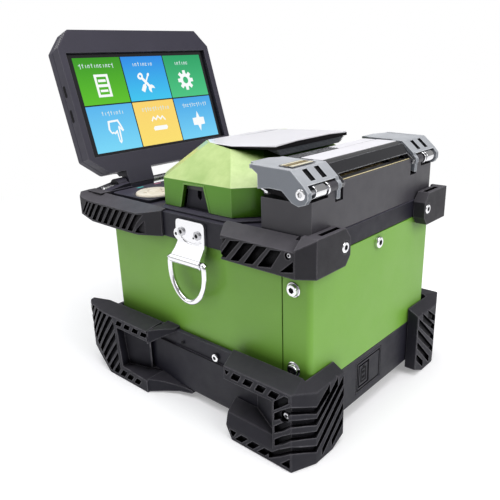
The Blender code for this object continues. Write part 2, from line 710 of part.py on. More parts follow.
COVER_LUG = [
    (70.5, 141.5), (74.0, 134.9), (77.0, 135.6), (77.6, 137.6), (76.2, 139.2), (73.2, 141.6),
]


def heater_bore(side, near, far):
    return side_rod(HEATER_AXIS[1:], HEATER_BORE_R, side, near, far, 16)


def heater_housing():
    shape = box(-59.7, 59.7, 41.5, 76.4, FRAME_Z1 + 0.3, 138.3)
    housing = new_object("heater_housing", shape, BLACK)
    cut(housing, box(-70, 70, 40, 70.0, 136.6, 145))
    # trough
    cut(housing, box(-55, 55, 47, 67.5, 122, 150))
    for side, _ in SIDES:
        # rear wall notches, and a bored knuckle between them
        cut(housing, side_box(side, 46.8, 62, 70.4, 80, 132.6, 150))
        cut(housing, side_box(side, 34.2, 41.0, 66, 80, 129.2, 150))
        add(housing, side_rod(HEATER_AXIS[1:], HEATER_KNUCKLE_R, side, 41.2, 46.6, 20))
        cut(housing, heater_bore(side, 40, 48))
    # cable and air relief under the trough
    cut(housing, box(-50, 50, 46, 71, 110, 119.5))


def heater_plate():
    new_object("heater_plate", prism(HEATER_PLATE, "x", -50, 50), GOLD)


def heater_clamp(side, label):
    pivot = (side * 53, *HEATER_AXIS[1:])
    shape = side_prism(CLAMP_CHEEK, side, 62.4, 65.2)
    clamp = new_object(f"heater_clamp_{label}", shape, SLATE, pivot)
    add(clamp, side_prism(CLAMP_HOOD, side, 40.0, 65.0))
    near, far = 37.8, 40.6
    add(clamp, side_prism(CLAMP_ARM, side, near, far))
    add(clamp, side_rod(HEATER_AXIS[1:], HEATER_KNUCKLE_R, side, near, far, 20))
    cut(clamp, heater_bore(side, near - 0.5, far + 0.5))
    # finger tab toward the wind cover
    add(clamp, overlap(
        prism(mirrored(TAB_PLAN, side), "z", 140, 160),
        prism(TAB_SECTION, "x", -80, 80),
    ))
    cut(clamp, side_rod(HEATER_AXIS[1:], HEATER_PIN_R + GAP, side, 60, 68))
    # pressure pad block under the hood
    add(clamp, side_box(side, 50, 54, 54.0, 60.5, 133.2, 146.0))


def heater_pivot(side, label):
    shape = side_rod(HEATER_AXIS[1:], 3.2, side, 48.0, 59.2, 28)
    pivot = new_object(f"heater_pivot_{label}", shape, CHROME)
    add(pivot, side_rod(HEATER_AXIS[1:], HEATER_PIN_R, side, 35.0, 66.2, 16))
    smooth(pivot)


def heater_cover():
    half_width = 37.4
    shape = prism(COVER_SECTION, "x", -half_width, half_width)
    cover = new_object("heater_cover", shape, SLATE, HEATER_AXIS)
    # shallow window recess, and the two lugs that reach back to the hinge line
    cut(cover, box(-34, 34, 49, 62, 146.2, 150))
    near = 34.6
    for side, _ in SIDES:
        add(cover, side_prism(COVER_LUG, side, near, half_width))
        cut(cover, heater_bore(side, near - 0.5, half_width + 0.5))


# ================================================================= SPLICE BAY AND INSIDE
ARC_Z = 121.4              # height of the electrodes
ELECTRODE_R = 1.1
ELECTRODE_TIP = 1.2        # distance of the tip from the middle
ELECTRODE_END = 16.0
SCOPE_Y = 20.0             # microscope distance from the middle
SCREW_AXIS = (0, 104.0)    # axes along X: y, z
SHEATH_AXIS = (11.2, 120.6)
CLAMP_AXIS = (14.0, 120.5)
HINGE_PIN_R = 0.8          # pins of the sheath and fibre clamps
HINGE_BORE_R = 1.0
STAGE_NEAR, STAGE_FAR = 24.0, 41.0
STAGE_MID = (STAGE_NEAR + STAGE_FAR) / 2
SCREW_NEAR, SCREW_FAR = 17.4, 50.0
# board components: x0, x1, y0, y1, height
COMPONENTS = [
    (-30, -6, -40, -16, 3), (8, 28, -44, -24, 2.4), (-44, -36, 0, 40, 6),
    (10, 40, 4, 12, 5), (-20, 0, 30, 50, 4), (36, 46, -60, -20, 9),
]


def chassis_plate():
    chassis = new_object("chassis_plate", box(-57, 57, -70, 70, 94.0, 97.0), ALUMINIUM)
    # openings for the microscopes
    cut(chassis, box(-9, 9, -30, -12.3, 90, 100), box(-9, 9, 12.3, 30, 90, 100))
    add(chassis, box(-17, -14.8, -6, 6, 96.5, 108), box(14.8, 17, -6, 6, 96.5, 108))
    # bored electrode posts
    for end, _ in ENDS:
        low, high = span(end, 6.0, 12.0)
        add(chassis, box(-4.5, 4.5, low, high, 96.5, 125.0))
        cut(chassis, rod("y", (0, ARC_Z), ELECTRODE_R + GAP, low - 1, high + 1, 16))
    # bored fibre clamp posts
    near, far = 12.4, 14.6
    for side, _ in SIDES:
        add(chassis, side_box(side, near, far, 12.4, 16.4, 96.0, 122.6))
        cut(chassis, side_rod(CLAMP_AXIS, HINGE_BORE_R, side, near - 1, far + 1, 12))


def vgroove_block():
    block = new_object("vgroove_block", box(-13.5, 13.5, -5.5, 5.5, 97.3, 121.0), CERAMIC)
    cut(block, box(-3.2, 3.2, -8, 8, 112, 130))
    cut(block, prism([(-0.9, 122), (0.9, 122), (0, 120.2)], "x", -20, 20))


def electrode(end, label):
    stations = (   # distance from the middle, radius
        (ELECTRODE_TIP, 0.15), (ELECTRODE_TIP + 3.0, ELECTRODE_R), (ELECTRODE_END, ELECTRODE_R),
    )
    rings = [
        [(x, end * distance, z) for x, z in circle(0, ARC_Z, radius, 12)]
        for distance, radius in stations
    ]
    smooth(new_object(f"electrode_{label}", loft(rings), STEEL))


def microscope(end, label):
    """Upright observation microscope, passing through the chassis plate."""
    centre = (0, end * SCOPE_Y)
    scope = new_object(f"microscope_{label}", rod("z", centre, 6.5, 68, 104), BLACK)
    cut(scope, rod("z", centre, 4.5, 98, 110))
    smooth(scope)


def holder_stage(side, label):
    shape = side_box(side, STAGE_NEAR, STAGE_FAR, -9, 9, 98.4, 118.6)
    stage = new_object(f"holder_stage_{label}", shape, ALUMINIUM, (side * STAGE_MID, 0, 98.4))
    cut(stage, prism([(-0.8, 120), (0.8, 120), (0, 117.2)], "x", -60, 60))
    cut(stage, rod("x", SCREW_AXIS, 2.0, -60, 60, 20))
    # bored ears for the sheath clamp
    for near, far in ((STAGE_NEAR, 26.4), (38.6, STAGE_FAR)):
        add(stage, side_box(side, near, far, 8.0, 13.0, 108.0, 122.6))
        cut(stage, side_rod(SHEATH_AXIS, HINGE_BORE_R, side, near - 1, far + 1, 12))


def sheath_clamp(side, label):
    near, far = 26.8, 38.2
    shape = side_box(side, near, far, -8.5, 7.6, 119.0, 122.6)
    clamp = new_object(f"sheath_clamp_{label}", shape, STEEL, (side * STAGE_MID, *SHEATH_AXIS))
    add(clamp, side_rod(SHEATH_AXIS, 1.9, side, near, far, 16))
    add(clamp, side_box(side, near, far, 7.0, SHEATH_AXIS[0], 119.6, 121.6))
    add(clamp, side_rod(SHEATH_AXIS, HINGE_PIN_R, side, 24.4, 40.6, 12))


def lead_screw(side, label):
    shape = side_rod(SCREW_AXIS, 1.6, side, SCREW_NEAR, SCREW_FAR, 20)
    pivot = (side * (SCREW_NEAR + SCREW_FAR) / 2, *SCREW_AXIS)
    smooth(new_object(f"lead_screw_{label}", shape, STEEL, pivot))


def fibre_clamp(side, label):
    near, far = 8.2, 12.0
    shape = side_box(side, near, far, -3.0, 8.5, 121.5, 124.5)
    arm = new_object(f"fibre_clamp_{label}", shape, STEEL, (side * 10, *CLAMP_AXIS))
    add(arm, side_box(side, near, far, 8.0, CLAMP_AXIS[0], 120.0, 124.5))
    add(arm, side_rod(CLAMP_AXIS, 2.2, side, near, far, 16))
    add(arm, side_rod(CLAMP_AXIS, HINGE_PIN_R, side, near, 14.4, 12))


def stage_motor(side, label):
    shape = side_box(side, 44.0, 56.0, -6.0, 6.0, 97.4, 110.4)
    motor = new_object(f"stage_motor_{label}", shape, STEEL)
    cut(motor, side_rod(SCREW_AXIS, 2.0, side, 43.0, 51.0, 20))


def main_board():
    top = 45.6
    board = new_object("main_board", box(-52, 52, -66, 66, 44.0, top), BOARD)
    for x0, x1, y0, y1, height in COMPONENTS:
        add(board, box(x0, x1, y0, y1, 45.2, top + height))


def arc_power_module():
    new_object("arc_power_module", box(8, 40, 22, 58, 46.2, 66.0), CELL)


# ================================================================= BUILD
SINGLE_PIECES = (
    base_tray, port_cover, power_socket, battery_pack, front_case_shell, rear_case_cover,
    top_frame, deck_plate, deck_keys, display_back, display_bezel, display_screen,
    display_hinge_shaft, wind_cover, wind_cover_panel, wind_cover_handle, wind_cover_pin,
    bay_rim, heater_housing, heater_plate, heater_cover, chassis_plate, vgroove_block,
    main_board, arc_power_module,
)
LEFT_RIGHT_PIECES = (
    foot_rear, foot_front, guard_front, guard_rear, strap_bracket, strap_ring,
    display_hinge_base, heater_clamp, heater_pivot, holder_stage, sheath_clamp, lead_screw,
    fibre_clamp, stage_motor,
)
FRONT_REAR_PIECES = (electrode, microscope)

for build in SINGLE_PIECES:
    build()
for builders, places in ((LEFT_RIGHT_PIECES, SIDES), (FRONT_REAR_PIECES, ENDS)):
    for build in builders:
        for sign, place_name in places:
            build(sign, place_name)
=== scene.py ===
"""Looks for the fibre fusion splicer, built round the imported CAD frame.

Outlines are in millimetres about the middle of the sheet case, and become metres when a mesh
is made. +X is the right side, +Y the rear, +Z up. The display stands at the front and its
screen faces the rear. REF is how far the middle of the case sits behind the origin.
"""

import math
import random

import bpy
import bmesh
from mathutils import Matrix, Vector


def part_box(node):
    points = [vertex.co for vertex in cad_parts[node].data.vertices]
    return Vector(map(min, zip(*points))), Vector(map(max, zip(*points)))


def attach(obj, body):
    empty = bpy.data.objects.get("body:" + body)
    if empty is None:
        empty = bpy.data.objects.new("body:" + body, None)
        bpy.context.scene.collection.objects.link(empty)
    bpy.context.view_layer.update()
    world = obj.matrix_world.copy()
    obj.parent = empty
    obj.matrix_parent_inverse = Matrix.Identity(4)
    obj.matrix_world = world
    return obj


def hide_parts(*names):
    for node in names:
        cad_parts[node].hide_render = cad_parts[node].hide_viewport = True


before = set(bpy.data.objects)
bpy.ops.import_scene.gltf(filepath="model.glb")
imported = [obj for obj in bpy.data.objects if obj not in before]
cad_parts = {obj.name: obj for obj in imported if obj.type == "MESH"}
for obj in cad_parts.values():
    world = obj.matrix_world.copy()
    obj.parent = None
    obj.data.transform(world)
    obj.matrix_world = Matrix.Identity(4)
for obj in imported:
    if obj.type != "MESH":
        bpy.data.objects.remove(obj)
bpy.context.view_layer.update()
random.seed(7)

MM = 0.001
SIDES = ((1, "right"), (-1, "left"))
REAR_Y = 77.0                           # rear face of the sheet case
CASE_X = 61.0                           # half width of the sheet case
BASE_X = 65.0                           # half width of the base
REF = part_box("rear_case_cover")[1].y / MM - REAR_Y

HINGE_Y, HINGE_Z = 75.2, 137.0          # axis the heater lid parts turn on
STRAP_X, STRAP_Z = 68.6, 91.0           # axis of the strap rings
SCREEN_DATUM = Vector((0.0, -94.1, 138.7))
SCREEN_TILT = math.radians(16.7)
TURN = Matrix.Translation(SCREEN_DATUM) @ Matrix.Rotation(SCREEN_TILT, 4, "X")


# ================================================================= materials
class Graph:
    """Small helper to lay out a node material."""

    def __init__(self, name):
        self.mat = bpy.data.materials.new(name)
        self.mat.use_nodes = True
        self.tree = self.mat.node_tree
        self.bsdf = self.tree.nodes["Principled BSDF"]
        self.where = self.add("TexCoord").outputs["Object"]

    def add(self, kind, inputs=None, **settings):
        node = self.tree.nodes.new("ShaderNode" + kind)
        for key, value in settings.items():
            setattr(node, key, value)
        for key, value in (inputs or {}).items():
            self.feed(node.inputs[key], value)
        return node

    def feed(self, socket, value):
        """Links a node output to the socket, or sets the socket to a fixed value."""
        if isinstance(value, bpy.types.NodeSocket):
            self.tree.links.new(value, socket)
        elif socket.type == "RGBA":
            socket.default_value = (*value[:3], 1.0)
        else:
            socket.default_value = value

    def shader(self, name, value):
        self.feed(self.bsdf.inputs[name], value)

    def noise(self, scale, detail=3.0, rough=0.55, stretch=None):
        node = self.add("TexNoise", {"Scale": scale, "Detail": detail, "Roughness": rough})
        where = self.where
        if stretch:
            where = self.add("Mapping", {"Scale": stretch, "Vector": where}).outputs["Vector"]
        self.feed(node.inputs["Vector"], where)
        return node.outputs["Fac"]

    def remap(self, value, source=(0.3, 0.7), target=(0.0, 1.0)):
        """Maps the source range to the target; the default source is a noise's main range."""
        return self.add("MapRange", {
            "From Min": source[0], "From Max": source[1],
            "To Min": target[0], "To Max": target[1], "Value": value}).outputs["Result"]

    def math(self, operation, a, b):
        return self.add("Math", {0: a, 1: b}, operation=operation).outputs[0]

    def mix(self, factor, a, b, blend="MIX"):
        colour_a, colour_b, result = 6, 7, 2    # the colour sockets of the mix node
        inputs = {"Factor": factor, colour_a: a, colour_b: b}
        return self.add("Mix", inputs, data_type="RGBA", blend_type=blend).outputs[result]

    def edges(self, radius):
        """1 on convex and concave edges, 0 on flats."""
        bevel = self.add("Bevel", {"Radius": radius}, samples=4)
        flat = self.add("NewGeometry")
        normals = {0: bevel.outputs["Normal"], 1: flat.outputs["Normal"]}
        dot = self.add("VectorMath", normals, operation="DOT_PRODUCT")
        return self.remap(dot.outputs["Value"], source=(0.995, 0.86))

    def hollow(self, distance, local):
        """1 in the open, falling toward 0 deep in grooves and pockets; the mask for painted shade.
        """
        occlusion = self.add("AmbientOcclusion", {"Distance": distance}, samples=6,
                             only_local=local)
        return self.remap(occlusion.outputs["AO"], source=(0.50, 0.95))

    def up(self):
        """1 on faces that look up, by the piece's own normal, so it turns with the part."""
        own = self.add("TexCoord")
        axes = self.add("SeparateXYZ", {0: own.outputs["Normal"]})
        return self.remap(axes.outputs["Z"], source=(0.2, 1.0))

    def bump(self, height, strength, distance):
        node = self.add("Bump", {"Strength": strength, "Distance": distance, "Height": height})
        self.shader("Normal", node.outputs["Normal"])


def linear(r, g, b):
    """Linear colour from 0-255 sRGB values."""
    return tuple((c / 255) / 12.92 if c / 255 <= 0.04045 else ((c / 255 + 0.055) / 1.055) ** 2.4
                 for c in (r, g, b))


def surface(name, colour, rough, metal=0.0, vary=0.12, vary_scale=22.0, rough_vary=0.12,
            grain=0.25, grain_scale=2600.0, depth=0.00006, brushed=None, spec=0.5, coat=0.0,
            wear_and_highlight=None, wear_and_highlight_amount=0.4, edge_radius=0.0008, top_light=None, top_light_amount=0.0,
            cavity_shade=0.0, reach=0.006, local=True, sheen=0.0):
    """A worn finish, with painted light and shade.

    vary mottles the colour and grain is the fine texture, with bumps of the given depth.
    The edge colour is partly rubbed wear and partly a painted highlight, and the colour on
    faces that look up is painted light from above and reflected surroundings. The darkening
    of hollows found within reach is painted shade, and brushed stretches the grain along an axis.
    """
    g = Graph(name)
    dark = tuple(c * (1 - vary) for c in colour)
    light = tuple(min(1.0, c * (1 + vary)) for c in colour)
    speck = tuple(min(1.0, c * 1.5 + 0.01) for c in colour)
    shown = g.mix(g.remap(g.noise(vary_scale, detail=4.0)), dark, light)
    fine = g.noise(grain_scale, detail=2.0, rough=0.6)
    shown = g.mix(g.remap(fine, source=(0.35, 0.75), target=(0.0, 0.35 * grain)), shown, speck)
    gloss = g.remap(g.noise(vary_scale * 6),
                    target=(rough - rough_vary / 2, rough + rough_vary / 2))
    # painted light: faces that look up are lightened in patches, for light from above and the
    # reflection of the white surroundings
    if top_light:
        top_light_mask = g.math("MULTIPLY", g.up(), g.remap(
            g.noise(55.0, detail=5.0, rough=0.65), source=(0.3, 0.75), target=(0.58, 1.0)))
        shown = g.mix(g.math("MULTIPLY", top_light_mask, top_light_amount), shown, top_light)
    # edges are lightened: partly rubbed wear, partly a painted highlight on the edge
    if wear_and_highlight:
        rub_and_highlight = g.math("MULTIPLY", g.edges(edge_radius), g.remap(
            g.noise(160.0, detail=4.0, rough=0.7), source=(0.36, 0.66), target=(0.40, 1.0)))
        rub_and_highlight = g.math("MULTIPLY", rub_and_highlight, wear_and_highlight_amount)
        shown = g.mix(rub_and_highlight, shown, wear_and_highlight)
        gloss = g.math("SUBTRACT", gloss, g.math("MULTIPLY", rub_and_highlight, 0.15))
    g.shader("Specular IOR Level", spec)
    # painted shade: hollows, and spots near other parts when not local, are darkened and lose shine
    if cavity_shade:
        unshaded = g.hollow(reach, local)
        shown = g.mix(unshaded, tuple(c * (1 - cavity_shade) for c in colour), shown)
        g.shader("Specular IOR Level",
                 g.remap(unshaded, source=(0.0, 1.0), target=(spec * (1 - cavity_shade), spec)))
    g.shader("Base Color", shown)
    g.shader("Roughness", gloss)
    if sheen:
        # light picked up from white surroundings, on faces that look up
        g.shader("Emission Color", shown)
        g.shader("Emission Strength", g.math("MULTIPLY", g.up(), sheen))
    g.shader("Metallic", metal)
    if coat:
        g.shader("Coat Weight", coat)
        g.shader("Coat Roughness", 0.12)
    height = fine
    if brushed:
        height = g.math("ADD", g.math("MULTIPLY", fine, 0.3),
                        g.noise(900.0, detail=2.0, rough=0.6, stretch=brushed))
    g.bump(height, grain, depth)
    return g.mat


def lit(name, low, high, z_low, z_high, strength=0.97):
    """A glowing screen tile: colour runs up the screen, behind a glossy cover."""
    g = Graph(name)
    axes = g.add("SeparateXYZ", {0: g.where})
    shown = g.mix(g.remap(axes.outputs["Z"], source=(z_low, z_high)), low, high)
    # the fine grid of display cells
    cell = g.remap(g.noise(5200.0, detail=1.0), target=(0.94, 1.04))
    g.shader("Emission Color", g.mix(1.0, shown, cell, blend="MULTIPLY"))
    g.shader("Emission Strength", strength)
    g.shader("Base Color", (0.01, 0.01, 0.012))
    g.shader("Roughness", g.remap(g.noise(35.0, detail=4.0), target=(0.10, 0.17)))
    g.shader("Specular IOR Level", 0.35)
    return g.mat


# In these finishes the colour on faces that look up is painted light from above and reflected
# surroundings, the edge colour is partly wear and partly a painted highlight, and the darkening of
# hollows and nearby parts is painted shade.
PLASTIC = surface(
    "charcoal_plastic", colour=(0.0100, 0.0094, 0.0165), rough=0.50, vary=0.14, grain=0.35,
    grain_scale=2300, depth=0.00008, wear_and_highlight=(0.150, 0.145, 0.160), wear_and_highlight_amount=0.45,
    top_light=(0.094, 0.086, 0.122), top_light_amount=0.62, spec=0.28, cavity_shade=0.6)
CASING = surface(
    "display_casing", colour=(0.0330, 0.0305, 0.0470), rough=0.46, grain=0.35,
    grain_scale=2300, depth=0.00008, wear_and_highlight=(0.170, 0.165, 0.185),
    top_light=(0.090, 0.084, 0.110), top_light_amount=0.3, spec=0.32, cavity_shade=0.6)
RUBBER = surface(
    "guard_rubber", colour=(0.0078, 0.0074, 0.0130), rough=0.58, vary=0.16, grain=0.40,
    grain_scale=1900, depth=0.0001, wear_and_highlight=(0.150, 0.144, 0.162), wear_and_highlight_amount=0.85,
    edge_radius=0.0012, top_light=(0.070, 0.066, 0.078), top_light_amount=0.50, spec=0.26, cavity_shade=0.92)
GUARD = surface(
    "upper_guard_rubber", colour=(0.0120, 0.0110, 0.0150), rough=0.55, vary=0.16, grain=0.45,
    grain_scale=1700, depth=0.0001, wear_and_highlight=(0.140, 0.134, 0.150), wear_and_highlight_amount=0.75,
    edge_radius=0.0011, top_light=(0.115, 0.108, 0.124), top_light_amount=0.80, spec=0.30, cavity_shade=0.92)
GLOSS_BLACK = surface(
    "gloss_black_bar", colour=(0.012, 0.012, 0.015), rough=0.22, grain=0.08,
    grain_scale=2200, depth=0.00003, wear_and_highlight=(0.55, 0.56, 0.60), wear_and_highlight_amount=0.7, coat=0.3)
SILVER = surface(
    "silver_film", colour=(0.80, 0.80, 0.82), rough=0.24, metal=0.1, vary=0.06,
    vary_scale=40, grain=0.05, grain_scale=2400, depth=0.00002, coat=0.4)
HOUSING = surface(
    "heater_housing_plastic", colour=(0.040, 0.038, 0.046), rough=0.40, grain_scale=2200,
    wear_and_highlight=(0.20, 0.195, 0.21), wear_and_highlight_amount=0.45, top_light=(0.085, 0.082, 0.092),
    top_light_amount=0.35, spec=0.45, cavity_shade=0.7)
GROOVE = surface(
    "groove_shadow_rubber", colour=(0.0040, 0.0036, 0.0050), rough=0.8, vary=0.2,
    grain=0.3, grain_scale=1900, spec=0.2)
GREEN = surface(
    "case_green_paint", colour=(0.158, 0.352, 0.038), rough=0.42, vary=0.06, vary_scale=14,
    grain_scale=1500, wear_and_highlight=(0.34, 0.56, 0.16), wear_and_highlight_amount=0.25, coat=0.04,
    rough_vary=0.08, spec=0.40, cavity_shade=0.5, reach=0.010, local=False)
# the lime cover's paler roof is a painted reflection, and its darker walls beside the heater and
# under the panel are painted shade
LIME = surface(
    "cover_lime_paint", colour=(0.082, 0.250, 0.008), rough=0.34, spec=0.24, vary=0.05,
    vary_scale=16, grain=0.12, grain_scale=1700, depth=0.00004, wear_and_highlight=(0.60, 0.80, 0.36),
    wear_and_highlight_amount=0.35, coat=0.30, rough_vary=0.08, top_light=(0.80, 0.91, 0.45),
    top_light_amount=0.90, cavity_shade=0.76, reach=0.015, local=False)
SLATE = surface(
    "clamp_slate", colour=(0.175, 0.190, 0.215), rough=0.42, metal=0.15, vary=0.07,
    grain=0.18, wear_and_highlight=(0.80, 0.82, 0.86), wear_and_highlight_amount=0.75, top_light=(0.66, 0.68, 0.72),
    top_light_amount=0.80, cavity_shade=0.85)
HANDLE = surface(
    "handle_grey", colour=(0.070, 0.078, 0.092), rough=0.40, vary=0.10, grain=0.2,
    grain_scale=2200, wear_and_highlight=(0.3, 0.32, 0.35))
PANEL = surface(
    "panel_silver", colour=(0.80, 0.79, 0.84), rough=0.32, metal=0.10, vary=0.03,
    vary_scale=18, grain=0.05, depth=0.00002, wear_and_highlight=(0.9, 0.9, 0.92), wear_and_highlight_amount=0.3,
    coat=0.35, rough_vary=0.05, sheen=0.24)
CHROME = surface(
    "bright_chrome", colour=(0.86, 0.86, 0.88), rough=0.10, metal=1.0, vary=0.03,
    grain=0.03, grain_scale=900, depth=0.00002, rough_vary=0.06)
STEEL = surface(
    "brushed_steel", colour=(0.55, 0.55, 0.57), rough=0.30, metal=1.0, vary=0.06,
    grain=0.2, grain_scale=1800, brushed=(1.0, 12.0, 12.0))
ALUMINIUM = surface(
    "machined_aluminium", colour=(0.62, 0.63, 0.65), rough=0.36, metal=1.0, vary=0.05,
    grain=0.2, grain_scale=1600, brushed=(1.0, 14.0, 14.0))
GLASS = surface(
    "cover_glass", colour=(0.006, 0.006, 0.008), rough=0.07, vary=0.3, grain=0.0,
    rough_vary=0.04, coat=0.5)
GOLD = surface(
    "heater_gold", colour=(0.80, 0.60, 0.25), rough=0.30, metal=0.9, vary=0.10,
    grain=0.15, grain_scale=1500, brushed=(1.0, 10.0, 10.0))
CERAMIC = surface(
    "white_ceramic", colour=(0.84, 0.82, 0.76), rough=0.28, vary=0.03, grain=0.08,
    grain_scale=1200)
CREAM = surface(
    "key_cream", colour=(0.80, 0.72, 0.60), rough=0.40, vary=0.04, grain=0.12,
    grain_scale=2200, wear_and_highlight=(0.92, 0.87, 0.78), wear_and_highlight_amount=0.3)
BOARD = surface(
    "board_mask", colour=(0.03, 0.16, 0.07), rough=0.40, vary=0.15, vary_scale=120,
    grain=0.15, grain_scale=1200)
CELL = surface("battery_shrink", colour=(0.09, 0.09, 0.11), rough=0.45, vary=0.1, grain=0.15)
SOCKET = surface("socket_black", colour=(0.020, 0.020, 0.022), rough=0.45, vary=0.15)
LENS = surface(
    "scope_black", colour=(0.022, 0.022, 0.026), rough=0.35, metal=0.4, vary=0.1, grain=0.1)
GRILLE = surface(
    "grille_highlight", colour=(0.16, 0.155, 0.17), rough=0.35, vary=0.1, grain=0.2,
    wear_and_highlight=(0.55, 0.54, 0.57), wear_and_highlight_amount=0.7)
TEAL = surface("mark_teal", colour=(0.05, 0.42, 0.40), rough=0.45, vary=0.05, grain=0.1)
PINK = surface("mark_pink", colour=(0.55, 0.20, 0.30), rough=0.45, vary=0.05, grain=0.1)
TRIM = surface(
    "heater_trim_gold", colour=(0.92, 0.80, 0.46), rough=0.30, metal=0.25, vary=0.08,
    vary_scale=60, grain=0.15, grain_scale=1500, depth=0.00004)
# painted shade: near black, for the insides of screw recesses and holes
RECESS_SHADE = surface(
    "screw_recess", colour=(0.006, 0.006, 0.008), rough=0.6, vary=0.2, grain=0.1, spec=0.2)
PRINT = surface("faint_print", colour=(0.16, 0.155, 0.17), rough=0.55, vary=0.08, grain=0.2)


# ================================================================= outlines and bodies
def rect(x0, x1, y0, y1):
    return [(x0, y0), (x1, y0), (x1, y1), (x0, y1)]


def circle(centre_x, centre_y, radius, n=32):
    return [(centre_x + radius * math.cos(2 * math.pi * i / n),
             centre_y + radius * math.sin(2 * math.pi * i / n)) for i in range(n)]


def rounded_rect(x0, x1, y0, y1, r, steps):
    points = []
    corners = ((x1 - r, y1 - r, 0), (x0 + r, y1 - r, 90), (x0 + r, y0 + r, 180),
               (x1 - r, y0 + r, 270))
    for centre_x, centre_y, start in corners:
        for i in range(steps + 1):
            angle = math.radians(start + 90 * i / steps)
            points.append((centre_x + r * math.cos(angle), centre_y + r * math.sin(angle)))
    return points


def rotated(points, angle):
    cos, sin = math.cos(angle), math.sin(angle)
    return [(x * cos - y * sin, x * sin + y * cos) for x, y in points]


def on_side(sign, points):
    """Right side points put on the side of the given sign."""
    return [(sign * p[0], *p[1:]) for p in points]


def loft(rings):
    bm = bmesh.new()
    loops = [[bm.verts.new(p) for p in ring] for ring in rings]
    count = len(loops[0])
    for a, b in zip(loops, loops[1:]):
        for i in range(count):
            j = (i + 1) % count
            bm.faces.new((a[i], a[j], b[j], b[i]))
    bm.faces.new(loops[0][::-1])
    bm.faces.new(loops[-1])
    return bm


def prism(points, axis, low, high):
    place = {"x": lambda p, h: (h, p[0], p[1]),
             "y": lambda p, h: (p[0], h, p[1]),
             "z": lambda p, h: (p[0], p[1], h)}[axis]
    return loft([[place(p, low) for p in points], [place(p, high) for p in points]])


def side_prism(sign, points, x0, x1):
    """A (y, z) outline carried along X between two distances out from the middle."""
    return prism(points, "x", *sorted((sign * x0, sign * x1)))


def box(x0, x1, y0, y1, z0, z1):
    return prism(rect(*sorted((x0, x1)), *sorted((y0, y1))), "z", *sorted((z0, z1)))


def spin(profile, n=32):
    """Turns a list of (radius, height) points about Z into a closed body."""
    bm = bmesh.new()
    rings = []
    for radius, height in profile:
        if radius < 1e-6:
            rings.append([bm.verts.new((0, 0, height))])
        else:
            rings.append([bm.verts.new((radius * math.cos(2 * math.pi * i / n),
                                        radius * math.sin(2 * math.pi * i / n), height))
                          for i in range(n)])
    for a, b in zip(rings, rings[1:]):
        for i in range(n):
            j = (i + 1) % n
            if len(a) == 1:
                bm.faces.new((a[0], b[j], b[i]))
            elif len(b) == 1:
                bm.faces.new((a[i], a[j], b[0]))
            else:
                bm.faces.new((a[i], a[j], b[j], b[i]))
    if len(rings[0]) > 1:
        bm.faces.new(rings[0][::-1])
    if len(rings[-1]) > 1:
        bm.faces.new(rings[-1])
    return bm


def tube(path, radius, n):
    """A round bar along a path of points."""
    bm = bmesh.new()
    loops = []
    reference = Vector((0.13, 0.37, 0.92)).normalized()
    for i, point in enumerate(path):
        before = Vector(path[max(i - 1, 0)])
        after = Vector(path[min(i + 1, len(path) - 1)])
        along = (after - before).normalized()
        u = along.cross(reference).normalized()
        v = along.cross(u).normalized()
        loops.append([bm.verts.new(Vector(point) + u * radius * math.cos(2 * math.pi * k / n)
                                   + v * radius * math.sin(2 * math.pi * k / n))
                      for k in range(n)])
    for a, b in zip(loops, loops[1:]):
        for i in range(n):
            j = (i + 1) % n
            bm.faces.new((a[i], a[j], b[j], b[i]))
    bm.faces.new(loops[0][::-1])
    bm.faces.new(loops[-1])
    return bm


def catmull(points, steps):
    """A smooth curve from the first point to the last; its end tangents wrap round."""
    out = []
    n = len(points)
    for i in range(n - 1):
        p0, p1, p2, p3 = (Vector(points[(i + k) % n]) for k in (-1, 0, 1, 2))
        for step in range(steps):
            t = step / steps
            out.append(0.5 * ((2 * p1) + (p2 - p0) * t + (2 * p0 - 5 * p1 + 4 * p2 - p3) * t * t
                              + (3 * p1 - p0 - 3 * p2 + p3) * t ** 3))
    return out


def merge(*bodies):
    """Puts several bodies in one bmesh."""
    out = bmesh.new()
    for bm in bodies:
        mesh = bpy.data.meshes.new("m")
        bm.to_mesh(mesh)
        bm.free()
        out.from_mesh(mesh)
        bpy.data.meshes.remove(mesh)
    return out


def placed(bm, origin, normal, spin_angle=0.0):
    """Turns a body made about Z so that Z points along normal, and puts it at origin."""
    turn = Vector((0, 0, 1)).rotation_difference(Vector(normal).normalized())
    matrix = (Matrix.Translation(Vector(origin)) @ turn.to_matrix().to_4x4()
              @ Matrix.Rotation(spin_angle, 4, "Z"))
    bmesh.ops.transform(bm, matrix=matrix, verts=bm.verts[:])
    return bm


def on_display(bm):
    """Turns a body from the upright screen frame to the tilted display."""
    bmesh.ops.transform(bm, matrix=TURN, verts=bm.verts[:])
    return bm


# ================================================================= objects and cuts
def new_object(name, mesh):
    obj = bpy.data.objects.new(name, mesh)
    bpy.context.scene.collection.objects.link(obj)
    return obj


def raw(name, bm):
    """Object from a bmesh in case millimetres, its mesh in the frame's metres."""
    bmesh.ops.recalc_face_normals(bm, faces=bm.faces[:])
    for vert in bm.verts:
        vert.co = Vector((vert.co.x, vert.co.y + REF, vert.co.z)) * MM
    mesh = bpy.data.meshes.new(name)
    bm.to_mesh(mesh)
    bm.free()
    return new_object(name, mesh)


def bake(obj):
    graph = bpy.context.evaluated_depsgraph_get()
    graph.update()
    baked = bpy.data.meshes.new_from_object(obj.evaluated_get(graph))
    obj.modifiers.clear()
    obj.data = baked
    return obj


def boolean(obj, tool, operation="DIFFERENCE"):
    """Cuts, joins or keeps by a tool, which is a bmesh or an object and is used up."""
    if not isinstance(tool, bpy.types.Object):
        tool = raw("tool", tool)
    mod = obj.modifiers.new("b", "BOOLEAN")
    mod.operation = operation
    mod.solver = "EXACT"
    mod.object = tool
    bake(obj)
    bpy.data.objects.remove(tool, do_unlink=True)
    return obj


